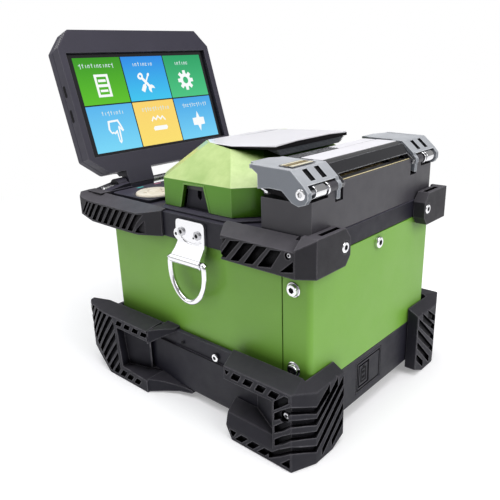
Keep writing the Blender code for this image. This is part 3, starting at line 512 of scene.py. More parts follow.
def trimmed_cutter(shapes, region, band):
    """A tool made of the shapes, kept only where they are inside both region and band."""
    tool = raw("slots", merge(*shapes))
    boolean(tool, region, "INTERSECT")
    return boolean(tool, band, "INTERSECT")


def ring_tool(x0, x1, z0, z1, wide, y0, y1):
    """A rectangular frame that lies in a rear face."""
    tool = raw("ring", prism(rounded_rect(x0, x1, z0, z1, 0.5, 3), "y", y0, y1))
    inside = rounded_rect(x0 + wide, x1 - wide, z0 + wide, z1 - wide, 0.3, 3)
    return boolean(tool, prism(inside, "y", y0 - 1, y1 + 1))


def join_flats(bm):
    bmesh.ops.dissolve_limit(bm, angle_limit=math.radians(0.4), verts=bm.verts[:],
                             edges=bm.edges[:])


def clean(obj):
    """Welds a cut body, fills stray holes and joins up its flat faces."""
    bm = bmesh.new()
    bm.from_mesh(obj.data)
    bmesh.ops.remove_doubles(bm, verts=bm.verts[:], dist=1e-7)
    rim = [edge for edge in bm.edges if edge.is_boundary]
    if rim:
        bmesh.ops.holes_fill(bm, edges=rim, sides=0)
        bmesh.ops.recalc_face_normals(bm, faces=bm.faces[:])
    join_flats(bm)
    bm.to_mesh(obj.data)
    bm.free()


def drop_custom_normals(mesh):
    if "custom_normal" in mesh.attributes:
        mesh.attributes.remove(mesh.attributes["custom_normal"])


def copy_node(node, name):
    """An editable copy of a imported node's mesh, welded, with its flat faces joined up."""
    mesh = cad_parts[node].data.copy()
    mesh.name = name
    obj = new_object(name, mesh)
    bm = bmesh.new()
    bm.from_mesh(mesh)
    bmesh.ops.remove_doubles(bm, verts=bm.verts[:], dist=1e-6)
    join_flats(bm)
    bm.to_mesh(mesh)
    bm.free()
    drop_custom_normals(mesh)
    return obj


def mirrored(obj, name):
    """The same body for the other side of the case."""
    new = new_object(name, obj.data.copy())
    new.matrix_world = obj.matrix_world.copy()
    bm = bmesh.new()
    bm.from_mesh(new.data)
    for vert in bm.verts:
        vert.co.x = -vert.co.x
    bmesh.ops.reverse_faces(bm, faces=bm.faces[:])
    bm.to_mesh(new.data)
    bm.free()
    return new


# ================================================================= finishing
def paint(obj, mat):
    obj.data.materials.clear()
    obj.data.materials.append(mat)
    for poly in obj.data.polygons:
        poly.material_index = 0
        poly.use_smooth = True


def add_bevel(obj, name, width, seg, angle):
    mod = obj.modifiers.new(name, "BEVEL")
    mod.width = width * MM
    mod.segments = seg
    mod.limit_method = "ANGLE"
    mod.angle_limit = math.radians(angle)
    mod.use_clamp_overlap = True


def soften(obj, width):
    """Rounds the edges of a body before the small features are cut in it."""
    add_bevel(obj, "soften", width, seg=3, angle=25)
    return bake(obj)


def mark_sharp(obj, angle):
    bpy.context.view_layer.objects.active = obj
    obj.data.set_sharp_from_angle(angle=math.radians(angle))


def weight_normals(obj):
    mod = obj.modifiers.new("wn", "WEIGHTED_NORMAL")
    mod.keep_sharp = True
    mod.weight = 80


def finish(obj, mat, body, slot, replaces=(), bevel=0.0, seg=2, sharp=40, angle=30):
    """Paints and shades a piece, and says what it rides on and which node it replaces."""
    paint(obj, mat)
    if bevel:
        add_bevel(obj, "bevel", bevel, seg, angle)
    mark_sharp(obj, 180 if bevel else sharp)
    weight_normals(obj)
    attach(obj, body)
    if replaces:
        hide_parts(*replaces)


def dress(node, mat, bevel=0.0, seg=2, angle=30):
    """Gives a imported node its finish; edges are rounded by modifiers, not in its mesh."""
    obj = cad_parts[node]
    paint(obj, mat)
    drop_custom_normals(obj.data)
    obj.modifiers.new("weld", "WELD").merge_threshold = 0.000001
    if bevel:
        planar = obj.modifiers.new("planar", "DECIMATE")
        planar.decimate_type = "DISSOLVE"
        planar.angle_limit = math.radians(0.5)
        add_bevel(obj, "bevel", bevel, seg, angle)
    else:
        mark_sharp(obj, 40)
    weight_normals(obj)


def piece(name, bm, mat, body="case", slot="frame_plastic", **shading):
    finish(raw(name, bm), mat, body, slot, **shading)


POOL = {}


def pool(name, bm, mat, body="case", slot="frame_plastic", **shading):
    """Collects small like bodies that ride together, made into one piece at the end."""
    POOL.setdefault(name, ([], mat, body, slot, shading))[0].append(bm)


# ================================================================= screws and washers
# head outlines from the top down, as (share of radius, share of height)
CROSS_HEAD = ((0, 1), (0.35, 1), (0.62, 0.93), (0.84, 0.72), (0.96, 0.40), (1, 0.12), (1, 0))
HEX_HEAD = ((0, 1), (0.80, 1), (0.93, 0.90), (1, 0.70), (1, 0))


def screw(origin, normal, radius, height, cross=False, body="case", spin_angle=0.3, mat=CHROME):
    """Pan head with a cross or hexagon recess, and a dark plug in that recess as painted shade."""
    outline = [(radius * across, height * up) for across, up in (CROSS_HEAD if cross else HEX_HEAD)]
    head = raw("screw_head", spin(outline + [(0.9 * radius, -0.15)]))
    if cross:
        arm, half = 0.62 * radius, 0.15 * radius
        tools = [box(-arm, arm, -half, half, 0.3 * height, 2 * height),
                 box(-half, half, -arm, arm, 0.3 * height, 2 * height)]
        arm, half, low = 0.60 * radius, 0.14 * radius, 0.1 * height
        base = merge(box(-arm, arm, -half, half, low, 0.34 * height),
                     box(-half, half, -arm, arm, low, 0.335 * height))
    else:
        tools = [prism(circle(0, 0, 0.52 * radius, 6), "z", 0.12 * height, 2 * height)]
        base = prism(circle(0, 0, 0.515 * radius, 6), "z", 0.02 * height, 0.50 * height)
    for tool in tools:
        boolean(head, tool)
    # back to millimetres about its own axis, so that it can be placed
    bm = bmesh.new()
    bm.from_mesh(head.data)
    back = Vector((0, -REF, 0))
    for vert in bm.verts:
        vert.co = vert.co / MM + back
    bpy.data.objects.remove(head, do_unlink=True)
    placed(bm, origin, normal, spin_angle)
    bmesh.ops.recalc_face_normals(bm, faces=bm.faces[:])
    pool(f"screws_{body}_{mat.name}", bm, mat, body, "chrome", sharp=35)
    placed(base, origin, normal, spin_angle)
    pool(f"screw_recess_shades_{body}", base, RECESS_SHADE, body, "steel")


def washer(origin, normal, inner, outer, height, mat, slot="chrome"):
    start = (inner, height * 0.4)
    ring = spin([start, (inner * 1.08, height), (outer * 0.92, height), (outer, height * 0.4),
                 (outer, 0), (inner, 0), start], 36)
    # the profile closes on itself, so its two ends are welded and their caps removed
    bmesh.ops.remove_doubles(ring, verts=ring.verts[:], dist=1e-6)
    for face in [face for face in ring.faces if len(face.verts) > 4]:
        ring.faces.remove(face)
    pool(f"rings_case_{mat.name}", placed(ring, origin, normal), mat, "case", slot, sharp=40)


# ================================================================= case, base and frame
for node in ("front_case_shell", "rear_case_cover"):
    dress(node, GREEN, bevel=0.35, angle=40)

# material, edge rounding, nodes
DRESSED = (
    (PLASTIC, 0.6, ("base_tray",)),
    (PLASTIC, 0.5, ("top_frame", "display_hinge_base_right", "display_hinge_base_left")),
    (PLASTIC, 0.4, ("deck_plate",)),
    (PLASTIC, 0.3, ("bay_rim",)),
    (SOCKET, 0.3, ("power_socket",)),
    (CELL, 0.2, ("battery_pack", "arc_power_module")),
    (BOARD, 0.0, ("main_board",)),
    (ALUMINIUM, 0.2, ("chassis_plate",)),
    (CERAMIC, 0.2, ("vgroove_block",)),
    (LENS, 0.0, ("microscope_front", "microscope_rear")),
    (STEEL, 0.0, ("electrode_front", "electrode_rear", "display_hinge_shaft", "wind_cover_pin",
                  "lead_screw_right", "lead_screw_left")),
    (GOLD, 0.2, ("heater_plate",)),
    (ALUMINIUM, 0.3, ("holder_stage_right", "holder_stage_left")),
    (STEEL, 0.3, ("sheath_clamp_right", "sheath_clamp_left")),
    (STEEL, 0.2, ("fibre_clamp_right", "fibre_clamp_left")),
    (STEEL, 0.5, ("stage_motor_right", "stage_motor_left")),
)
for mat, bevel, nodes in DRESSED:
    for node in nodes:
        dress(node, mat, bevel)


def case_side_details(sign):
    """Screws and washers on one side, a dark disc of painted shade for a plain hole behind the
    front foot, and a belt line.
    """
    outward = (sign, 0, 0)
    for z in (89.0, 45.8):
        place = (sign * CASE_X, 67.0, z)
        screw(place, outward, radius=3.1, height=1.9, spin_angle=0.25 + z)
        washer(place, outward, inner=3.15, outer=4.0, height=0.5, mat=CHROME)
    screw((sign * BASE_X, 14.7, 35.3), outward, radius=2.3, height=0.9)
    hole = spin([(0, 0.12), (1.0, 0.12), (1.15, 0.0), (1.0, -0.3), (0, -0.3)], 20)
    pool("base_hole_shades", placed(hole, (sign * BASE_X, -13.2, 35.3), outward), RECESS_SHADE)
    pool("base_lines", box(sign * 64.9, sign * 65.25, -33.0, 28.5, 31.6, 32.1), GROOVE, bevel=0.1)


for sign, side in SIDES:
    case_side_details(sign)
screw((0.0, REAR_Y, 99.0), (0, 1, 0), radius=3.2, height=1.8)

# ================================================================= rear feet
REAR_FOOT_X, REAR_FOOT_Y = 79.0, 84.5       # outer side and rear face
REAR_GROOVE = 2.0                           # groove depth
REAR_WELL = (74.6, 30.2)                    # screw well, (y, z)

# side pockets, as (y, z) outlines; two rows of slanted bars with odd shapes at their ends
REAR_POCKETS = (
    [[(35.6, 42.2), (39.0, 42.0), (36.6, 39.2)]]
    + [[(y, 38.3), (y + 5.1, 38.3), (y + 7.5, 42.3), (y + 2.4, 42.3)]
       for y in (39.6 + 8.35 * k for k in range(4))]
    + [[(68.4, 31.8), (77.6, 39.2), (77.6, 42.3), (75.0, 42.3), (68.4, 36.6)],
       [(37.6, 6.4), (42.4, 6.4), (39.8, 2.4), (38.8, 2.8)]]
    + [[(y, 1.8), (y + 5.0, 1.8), (y + 9.8, 6.4), (y + 4.8, 6.4)] for y in (41.0, 49.0, 57.0)]
    + [[(72.4, 2.2), (78.2, 7.8), (78.2, 2.2)]])
# grooves round the corner: side start (y, z), z at the two corners, rear face end (x, z)
REAR_CHEVRONS = (
    ((68.6, 28.0), 35.7, 31.5, (54.4, 38.6)),
    ((68.6, 20.6), 28.5, 25.0, (47.2, 39.0)),
    ((68.6, 12.9), 20.9, 17.6, (42.2, 37.4)),
    ((64.6, 3.2), 13.4, 9.0, (41.6, 30.4)),
)
# grooves on the rear face alone: two ends, each (x, z)
REAR_BARS = (((60.5, 4.2), (41.8, 22.0)), ((52.0, 4.4), (41.8, 13.6)))


def groove_loft(stations):
    """A groove cutter through stations of inner (x, y), outer (x, y), z and half width."""
    return loft([[(*outer, z - half), (*outer, z + half), (*inner, z + half), (*inner, z - half)]
                 for inner, outer, z, half in stations])


def rear_foot():
    """The right rear foot; the left one mirrors it."""
    foot = soften(copy_node("foot_rear_right", "foot_rear_ribbed_right"), 0.9)
    depth = REAR_GROOVE
    floor_x, floor_y = REAR_FOOT_X - depth, REAR_FOOT_Y - depth
    proud_x, proud_y = 81.0, 86.4           # clear of the foot's faces
    boolean(foot, merge(*(prism(points, "x", floor_x, proud_x) for points in REAR_POCKETS)))
    # the two corners the chevrons turn at, inner and outer (x, y)
    side_corner = ((floor_x, REAR_FOOT_X - 0.673 * depth), (proud_x, 80.3))
    rear_corner = ((65.5 - 0.196 * depth, floor_y), (65.9, proud_y))
    half = 1.95
    for (start_y, start_z), side_z, rear_z, (end_x, end_z) in REAR_CHEVRONS:
        boolean(foot, groove_loft((
            ((floor_x, start_y), (proud_x, start_y), start_z, half if start_z > 5 else 1.4),
            (*side_corner, side_z, half),
            (*rear_corner, rear_z, half),
            ((end_x, floor_y), (end_x, proud_y), end_z, 2.6))))
    for ends in REAR_BARS:
        # wound the other way about the section than the chevrons
        boolean(foot, loft([[(x, proud_y, z - 2.2), (x, proud_y, z + 2.2),
                             (x, floor_y, z + 2.2), (x, floor_y, z - 2.2)] for x, z in ends]))
    boolean(foot, prism(circle(*REAR_WELL, 3.0, 24), "x", 75.8, proud_x))
    clean(foot)
    return foot


right_foot = rear_foot()
for sign, side in SIDES:
    foot = right_foot if sign > 0 else mirrored(right_foot, f"foot_rear_ribbed_{side}")
    finish(foot, RUBBER, "case", "rubber_guard", (f"foot_rear_{side}",), bevel=0.35)
    screw((sign * 75.9, *REAR_WELL), (sign, 0, 0), radius=1.7, height=1.2, spin_angle=0.5,
          mat=STEEL)

# ================================================================= front feet
# slanted grooves: y of the middle, before a common shift, and width
FRONT_GROOVES = (
    (-126.0, 2.6), (-120.8, 2.9), (-115.4, 3.2), (-110.0, 3.4), (-104.4, 3.7), (-98.4, 4.0),
    (-92.0, 4.2), (-85.7, 4.2), (-79.5, 4.2), (-73.4, 4.2), (-67.2, 4.6), (-60.2, 4.8),
    (-53.0, 5.0), (-45.4, 5.0))
# where the slanted grooves show, (y, z), and the plan that sets their depth, (x, y)
FRONT_REGION = (
    (-97, 43.4), (-84, 43.2), (-62.2, 42.2), (-62.2, 37.0), (-60.0, 8.6), (-60.0, 6.9),
    (-36.5, 6.0), (-39.5, 2.0), (-70.5, 2.0), (-84, 14.5), (-90, 20.5), (-97, 30))
FRONT_BAND = (
    (81.5, -30), (77.1, -30), (77.1, -71.5), (76.3, -79.6), (73.6, -90.2), (70.4, -95.6),
    (74, -102), (83, -90))
# the same for the row along the upper arm
ARM_REGION = ((-60.6, 41.6), (-23.5, 41.6), (-26.0, 38.6), (-60.6, 38.0))
ARM_BAND = ((81.5, -20), (77.0, -20), (77.0, -71.5), (81.5, -71.5))
# fairings of the upper and lower arm, as stations of (y, low z, high z, outer x)
FAIRINGS = (
    ((-29.6, 34.6, 43.1, 78.7), (-25.5, 37.4, 43.1, 73.2), (-19.0, 40.6, 42.9, 66.0)),
    ((-33.4, 0.4, 8.9, 78.6), (-25.0, 1.0, 7.4, 72.2), (-16.0, 2.2, 5.6, 67.6),
     (-7.0, 3.0, 4.6, 65.4)),
)


def front_foot():
    """The right front foot; the left one mirrors it."""
    foot = soften(copy_node("foot_front_right", "foot_front_ribbed_right"), 0.8)
    span = (66, 82)
    shapes = []
    for middle, wide in FRONT_GROOVES:
        y0, y1 = middle - wide / 2 - 1.6, middle + wide / 2 - 1.6
        shapes.append(prism([(y0, -2), (y1, -2), (y1 + 40, 48), (y0 + 40, 48)], "x", *span))
    boolean(foot, trimmed_cutter(shapes, prism(FRONT_REGION, "x", *span),
                                 prism(FRONT_BAND, "z", -5, 50)))
    shapes = []
    for k in range(5):
        y = -60.2 + 8.2 * k
        outline = [(y, 38.0), (y + 5.2, 38.0), (y + 7.6, 42.0), (y + 2.4, 42.0)]
        shapes.append(prism(outline, "x", *span))
    boolean(foot, trimmed_cutter(shapes, prism(ARM_REGION, "x", *span),
                                 prism(ARM_BAND, "z", -5, 50)))
    clean(foot)
    # both arms end square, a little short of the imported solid, with a gap between them
    for outer_y, low, high in ((-29.0, 24.0, 50.0), (-33.0, -2.0, 24.0)):
        plan = [(80.5, outer_y), (60.0, -31.0), (60.0, -2.0), (80.5, -2.0)]
        boolean(foot, prism(plan, "z", low, high))
    boolean(foot, box(60.0, 67.4, -60.8, -2.0, 9.5, 35.5))
    clean(foot)
    return foot


right_foot = front_foot()
for sign, side in SIDES:
    # the arms fair in to the side of the base
    for stations in FAIRINGS:
        fairing = loft([on_side(sign, [(CASE_X, y, low), (x, y, low), (x - 0.6, y, high),
                                       (CASE_X, y, high + 0.4)])
                        for y, low, high, x in stations])
        pool("foot_fairings", fairing, RUBBER, "case", "rubber_guard", sharp=50)
    foot = right_foot if sign > 0 else mirrored(right_foot, f"foot_front_ribbed_{side}")
    finish(foot, RUBBER, "case", "rubber_guard", (f"foot_front_{side}",), bevel=0.35)

# ================================================================= top guards
# slanted slots of the front guard: front y at the bottom, and width
GUARD_SLOTS = (
    (-99.5, 2.2), (-96.0, 2.2), (-92.0, 3.2), (-86.6, 3.9), (-80.6, 4.1), (-74.4, 4.1),
    (-68.2, 4.1), (-62.0, 4.1), (-55.8, 4.1), (-49.6, 4.6))
GUARD_END_SLOT = ((-42.6, 98.5), (-33.6, 98.5), (-33.6, 108.4))
# where the front slots show, (y, z), and the plan that sets their depth, (x, y)
GUARD_REGION = (
    (-97.5, 105.9), (-88, 102.4), (-80, 101.0), (-30, 100.7), (-30, 111.6), (-60, 111.8),
    (-84, 112.3), (-97.5, 113.6))
GUARD_BAND = (
    (74, -25), (68.4, -29), (69.9, -38), (69.9, -90), (69.5, -95.2), (72, -102), (76, -98))
# slots of the rear guard, as (y, z) outlines
REAR_SLOTS = (
    ((27.6, 109.9), (34.0, 111.4), (27.6, 103.4)),
    ((27.9, 100.2), (33.2, 101.2), (43.1, 111.6), (36.5, 110.6)),
    ((36.3, 100.5), (41.8, 101.1), (52.2, 112.0), (45.8, 111.4)),
    ((45.4, 100.9), (51.0, 101.5), (60.3, 111.9), (53.7, 111.4)),
    ((54.0, 101.2), (62.2, 102.4), (68.5, 111.7), (62.2, 111.2)),
    ((67.6, 101.4), (75.3, 103.0), (75.3, 108.2)),
)


def front_guard(sign, side):
    guard = copy_node(f"guard_front_{side}", f"guard_front_slotted_{side}")
    outlines = [[(y, 98.5), (y + wide, 98.5), (y + wide + 12.0, 113.5), (y + 12.0, 113.5)]
                for y, wide in GUARD_SLOTS] + [GUARD_END_SLOT]
    tool = trimmed_cutter([side_prism(sign, points, 62, 74) for points in outlines],
                          side_prism(sign, GUARD_REGION, 62, 74),
                          prism(on_side(sign, GUARD_BAND), "z", 90, 120))
    boolean(guard, tool)
    clean(guard)
    finish(guard, GUARD, "case", "rubber_guard", (f"guard_front_{side}",), bevel=0.35)


def rear_guard(sign, side):
    guard = copy_node(f"guard_rear_{side}", f"guard_rear_slotted_{side}")
    boolean(guard, merge(*(side_prism(sign, points, 69.0, 74.0) for points in REAR_SLOTS)))
    # screw wells in the side and in the rear block
    boolean(guard, side_prism(sign, circle(72.2, 110.2, 1.7, 20), 70.4, 74))
    well = spin([(0, 1), (3.1, 1), (3.1, -1.6), (0, -1.6)], 28)
    boolean(guard, placed(well, (sign * 43.3, 84.3, 109.0), (0, 1, 0)))
    clean(guard)
    finish(guard, GUARD, "case", "rubber_guard", (f"guard_rear_{side}",), bevel=0.35)
    screw((sign * 43.3, 82.9, 109.0), (0, 1, 0), radius=2.85, height=1.7)
    screw((sign * 70.5, 72.2, 110.2), (sign, 0, 0), radius=1.25, height=0.9, mat=STEEL)


for sign, side in SIDES:
    front_guard(sign, side)
    rear_guard(sign, side)

# ================================================================= strap brackets and rings
PLATE_X0, PLATE_X1 = 63.5, 65.2     # inner and outer face of the bracket plate
# bracket plate, (y, z)
BRACKET_PLATE = (
    (-8.8, 112.9), (-10.4, 112.3), (-11.0, 110.8), (-11.2, 107.2), (-12.6, 106.0),
    (-13.2, 104.4), (-13.0, 102.6), (-11.6, 101.2), (-10.4, 100.6), (-10.6, 97.4),
    (10.6, 97.4), (10.9, 100.2), (11.1, 104.0), (11.2, 110.8), (10.6, 112.3), (9.0, 112.9))
# the step out to the ring, from the plate down: inner (x, z), outer (x, z), half width
BRACKET_STEP = (
    ((PLATE_X0, 98.2), (PLATE_X1, 99.4), 10.6),
    ((64.6, 95.6), (67.0, 96.6), 10.8),
    ((66.8, 92.4), (71.15, 91.6), 11.6))
# curved line pressed in the plate, (y, z)
PRESSED_LINE = (
    (-7.0, 103.0), (-4.5, 101.2), (-1.0, 100.3), (3.0, 100.3), (6.4, 101.2), (8.6, 102.6))
# half of the ring's bow, (y, z) from the strap axis
RING_BOW = (
    (11.9, 0.0), (12.9, -0.5), (13.5, -1.8), (13.6, -4.4), (13.4, -8.5), (12.3, -13.4),
    (10.0, -17.9), (6.7, -21.4), (2.4, -23.6))


def strap_bracket(sign, side):
    bracket = raw(f"strap_plate_{side}", side_prism(sign, BRACKET_PLATE, PLATE_X0, PLATE_X1))
    step = [on_side(sign, [(x0, -half, z0), (x1, -half, z1), (x1, half, z1), (x0, half, z0)])
            for (x0, z0), (x1, z1), half in BRACKET_STEP]
    boolean(bracket, loft(step), "UNION")
    axis = (sign * STRAP_X, STRAP_Z)
    boolean(bracket, prism(circle(*axis, 2.68, 40), "y", -11.6, 11.6), "UNION")
    boolean(bracket, prism(circle(*axis, 1.75, 32), "y", -20, 20))
    boolean(bracket, tube([(sign * 65.25, y, z) for y, z in PRESSED_LINE], 0.72, 10))
    boolean(bracket, side_prism(sign, circle(-11.4, 103.8, 0.95, 18), 62, 67))
    boolean(bracket, side_prism(sign, circle(2.6, 103.6, 0.6, 14), 62, 67))
    clean(bracket)
    finish(bracket, CHROME, "case", "chrome", (f"strap_bracket_{side}",), bevel=0.45, seg=3)
    for y, z, angle in ((-6.4, 106.0, 0.2), (6.0, 105.6, 0.9)):
        screw((sign * PLATE_X1, y, z), (sign, 0, 0), radius=2.5, height=1.0, spin_angle=angle,
              mat=STEEL)


def strap_ring(sign, side):
    """A D shaped ring: the bow below, and a straight bar along the strap axis."""
    x = sign * STRAP_X
    bow = catmull([(y, z, 0) for y, z in RING_BOW] + [(-y, z, 0) for y, z in RING_BOW[::-1]], 5)
    body = merge(tube([(x, p.x, STRAP_Z + p.y) for p in bow], 1.68, 20),
                 tube([(x, y, STRAP_Z) for y in (-12.3, 0.0, 12.3)], 1.5, 20))
    node = f"strap_ring_{side}"
    piece(f"d_ring_{side}", body, CHROME, node, "chrome", replaces=(node,), sharp=75)


for sign, side in SIDES:
    strap_bracket(sign, side)
    strap_ring(sign, side)

# ================================================================= rear port flap
flap = copy_node("port_cover", "port_flap")
# two rectangular grooves, and a dark ring of painted shade on the floor of each: x0, x1, z0, z1,
# width, y0, y1
boolean(flap, ring_tool(-8.7, 16.2, 13.6, 31.9, 1.0, 76.3, 78))
boolean(flap, ring_tool(3.2, 14.6, 15.6, 29.9, 1.1, 76.1, 78))
for k, dims in enumerate(((-8.6, 16.1, 13.7, 31.8, 0.8, 76.35 - 0.3, 76.35),
                          (3.3, 14.5, 15.7, 29.8, 0.9, 76.2 - 0.3, 76.2))):
    line = ring_tool(*dims)
    finish(line, GROOVE, "port_cover", "frame_plastic")
    line.name = f"port_groove_shade_{k}"
clean(flap)
finish(flap, PLASTIC, "port_cover", "frame_plastic", ("port_cover",), bevel=0.15)

# a cell outline with a cap and two bars, then dark strips of painted shade along the frames' -X and
# lower edges: x0, x1, z0, z1, y0
PORT_SYMBOL_AND_SHADE = (
    (6.6, 7.4, 18.2, 27.0, 76.7), (11.4, 12.2, 18.2, 27.0, 76.7),
    (7.4, 11.4, 18.2, 19.0, 76.7), (7.4, 11.4, 26.2, 27.0, 76.7),
    (8.4, 10.4, 27.2, 28.4, 76.7),
    (8.1, 10.8, 20.2, 20.2 + 1.7, 76.7), (8.1, 10.8, 23.4, 23.4 + 1.7, 76.7),
    (4.15, 5.1, 16.6, 29.0, 76.75), (-8.2, -7.5, 14.2, 31.2, 76.75),
    (-8.2, 15.6, 14.1, 14.7, 76.75))
for x0, x1, z0, z1, y0 in PORT_SYMBOL_AND_SHADE:
    pool("port_symbol_and_shade", box(x0, x1, y0, REAR_Y, z0, z1), GROOVE, "port_cover")

# ================================================================= display screen
# Screen parts are drawn upright about the datum: x, y (out of the screen) and v (up it).
dress("display_back", CASING, bevel=1.0, seg=3, angle=25)
dress("display_bezel", CASING, bevel=0.7, seg=3, angle=25)
dress("display_screen", GLASS)

LCD_X = 55.35                           # half width of the lit area
COLUMN_X = 18.45                        # edge of the middle column
LOW_ROW, HIGH_ROW = (0.2, 31.2), (31.2, 62.3)
TILE_GAP = 0.42                         # dark border of each tile
ICON_Y0, ICON_Y1 = -0.125, -0.06        # back and front of icons and captions

# name, x range, v range, colour at the bottom, colour at the top
TILES = (
    ("tile_list", (COLUMN_X, LCD_X), HIGH_ROW, linear(92, 195, 28), linear(52, 150, 18)),
    ("tile_tools", (-COLUMN_X, COLUMN_X), HIGH_ROW, linear(60, 200, 242), linear(38, 138, 232)),
    ("tile_gear", (-LCD_X, -COLUMN_X), HIGH_ROW, linear(72, 198, 130), linear(32, 160, 98)),
    ("tile_hand", (COLUMN_X, LCD_X), LOW_ROW, linear(122, 218, 250), linear(86, 182, 240)),
    ("tile_wave", (-COLUMN_X, COLUMN_X), LOW_ROW, linear(254, 226, 112), linear(253, 214, 110)),
    ("tile_cross", (-LCD_X, -COLUMN_X), LOW_ROW, linear(118, 212, 248), linear(66, 166, 234)),
)


def world_z(v):
    return (TURN @ Vector((0, 0, v))).z * MM


for name, (x0, x1), (v0, v1), low, high in TILES:
    mat = lit(name, low, high, world_z(v0), world_z(v1))
    outline = rect(x0 + TILE_GAP, x1 - TILE_GAP, v0 + TILE_GAP, v1 - TILE_GAP)
    piece(name, on_display(prism(outline, "y", -0.19, -0.13)), mat, "display", "screen", sharp=60)

ICON_WHITE = lit("icon_white", (0.95, 0.97, 0.97), (0.95, 0.97, 0.97), 0, 1, strength=1.0)
CAPTION_WHITE = lit("caption_white", (0.72, 0.86, 0.88), (0.72, 0.86, 0.88), 0, 1, strength=0.9)


def icon_body(centre, outline, y0, y1):
    """A plate from an outline of (right, up), where right is toward -X."""
    points = [(centre[0] - right, centre[1] + up) for right, up in outline]
    return on_display(prism(points, "y", y0, y1))


def plain_icon(centre, outline, lift=0.0):
    body = icon_body(centre, outline, ICON_Y0 + lift, ICON_Y1 + lift)
    pool("icons_plain", body, ICON_WHITE, "display", "screen", sharp=60)


def cut_icon(name, centre, outline, *holes):
    obj = raw(name, icon_body(centre, outline, ICON_Y0, ICON_Y1))
    for hole in holes:
        boolean(obj, icon_body(centre, hole, ICON_Y0 - 1, ICON_Y1 + 1))
    finish(obj, ICON_WHITE, "display", "screen", sharp=60)


# page with two boxes and a bar in each
LIST_AT = (37.2, 43.6)
cut_icon("icon_list", LIST_AT, rect(-5.4, 5.4, -7.4, 7.4),
         rect(-3.7, 3.7, 0.9, 5.8), rect(-3.7, 3.7, -5.8, -0.9))
plain_icon(LIST_AT, rect(-2.9, 2.9, 2.4, 4.1))
plain_icon(LIST_AT, rect(-2.9, 2.9, -4.1, -2.6))

# crossed tools: spanner and driver
TOOLS_AT = (1.8, 44.0)
SPANNER_TURN, DRIVER_TURN = math.radians(-50), math.radians(56)
SPANNER = (
    (-7.6, -0.9), (-7.0, -2.2), (-5.6, -2.6), (-4.2, -2.0), (-3.6, -1.0), (3.4, -1.0),
    (4.4, -2.3), (6.2, -2.8), (7.8, -2.2), (6.2, -0.9), (5.8, 0.0), (6.2, 0.9), (7.8, 2.2),
    (6.2, 2.8), (4.4, 2.3), (3.4, 1.0), (-3.6, 1.0), (-4.2, 2.0), (-5.6, 2.6), (-7.0, 2.2),
    (-7.6, 0.9))
DRIVER = (
    (-7.4, -1.5), (-2.6, -1.5), (-2.0, -0.55), (5.2, -0.55), (6.0, -1.0), (7.4, -0.5),
    (7.4, 0.5), (6.0, 1.0), (5.2, 0.55), (-2.0, 0.55), (-2.6, 1.5), (-7.4, 1.5))
cut_icon("icon_spanner", TOOLS_AT, rotated(SPANNER, SPANNER_TURN),
         rotated(circle(-5.6, 0, 0.95, 14), SPANNER_TURN))
plain_icon(TOOLS_AT, rotated(DRIVER, DRIVER_TURN), lift=0.01)

# gear wheel of eight teeth, each from four (angle off its middle, radius) points
gear = []
for k in range(8):
    for offset, radius in ((-16, 5.0), (-10, 7.3), (10, 7.3), (16, 5.0)):
        angle = math.radians(45 * k + offset)
        gear.append((radius * math.cos(angle), radius * math.sin(angle)))
cut_icon("icon_gear", (-35.4, 43.6), gear, circle(0, 0, 2.5, 24))

# pointing hand, drawn as an outline
HAND = (
    (-5.0, 7.2), (3.2, 7.6), (4.6, 4.2), (6.0, 0.2), (4.9, -0.6), (3.2, 1.4), (2.6, -6.8),
    (1.4, -8.4), (0.2, -6.8), (0.0, -1.0), (-1.4, -2.0), (-2.6, -1.2), (-3.8, -1.6),
    (-4.8, -0.4), (-5.8, 1.6))
HAND_INSIDE = (
    (-3.8, 6.0), (2.4, 6.3), (3.5, 3.8), (4.4, 1.4), (2.7, 3.6), (2.0, 2.6), (1.7, -6.2),
    (1.3, -6.9), (1.0, -6.2), (0.9, 0.8), (-0.2, 0.3), (-1.6, -0.9), (-2.4, -0.1),
    (-3.8, -0.4), (-4.5, 1.6))
cut_icon("icon_hand", (36.4, 13.4), HAND, HAND_INSIDE)

# arc over a fibre
ARC_AT = (-1.2, 14.4)
FIBRE = ((-6.0, -4.2), (5.0, -4.2), (6.4, -2.7), (5.6, -1.2), (-5.4, -1.2), (-6.6, -2.6))
WAVE = (
    (-6.2, 2.0), (-4.6, 4.4), (-2.6, 2.6), (-0.6, 4.9), (1.5, 2.7), (3.4, 4.6), (5.4, 2.0),
    (5.9, 2.9), (3.6, 5.9), (1.5, 4.1), (-0.6, 6.4), (-2.6, 4.0), (-4.6, 5.9), (-6.8, 2.9))
plain_icon(ARC_AT, FIBRE)
plain_icon(ARC_AT, WAVE)

# fibre joint: a sleeve with points above and below
SLEEVE = (
    (-5.6, -2.6), (-1.6, -2.8), (0.0, -7.4), (1.6, -2.8), (5.6, -2.6), (5.6, 2.6),
    (1.6, 2.8), (0.0, 7.4), (-1.6, 2.8), (-5.6, 2.6))
plain_icon((-38.2, 12.7), SLEEVE)

# Captions are rows of broken strokes that stand in for words, with no letters in them.
# Each group holds the strokes of one sign, as (x0, v0, x1, v1).
STROKES = (
    ((0.0, -1.3, 0.38, 1.3), (0.38, 0.3, 1.25, 0.72)),
    ((0.0, -0.8, 0.38, 0.8), (0.38, 0.42, 1.1, 0.8), (0.95, -0.8, 1.3, 0.5)),
    ((0.25, -0.8, 0.65, 1.35), (0.0, 0.5, 1.0, 0.85)),
    ((0.0, -0.75, 1.2, -0.38), (0.0, 0.42, 1.2, 0.8), (0.85, -0.4, 1.2, 0.45)),
    ((0.3, -0.8, 0.7, 0.8),),
)
STROKE_WIDE, STROKE_TALL = 1.15, 1.25   # stretch of the strokes across and up
SIGN_PITCH = 2.25
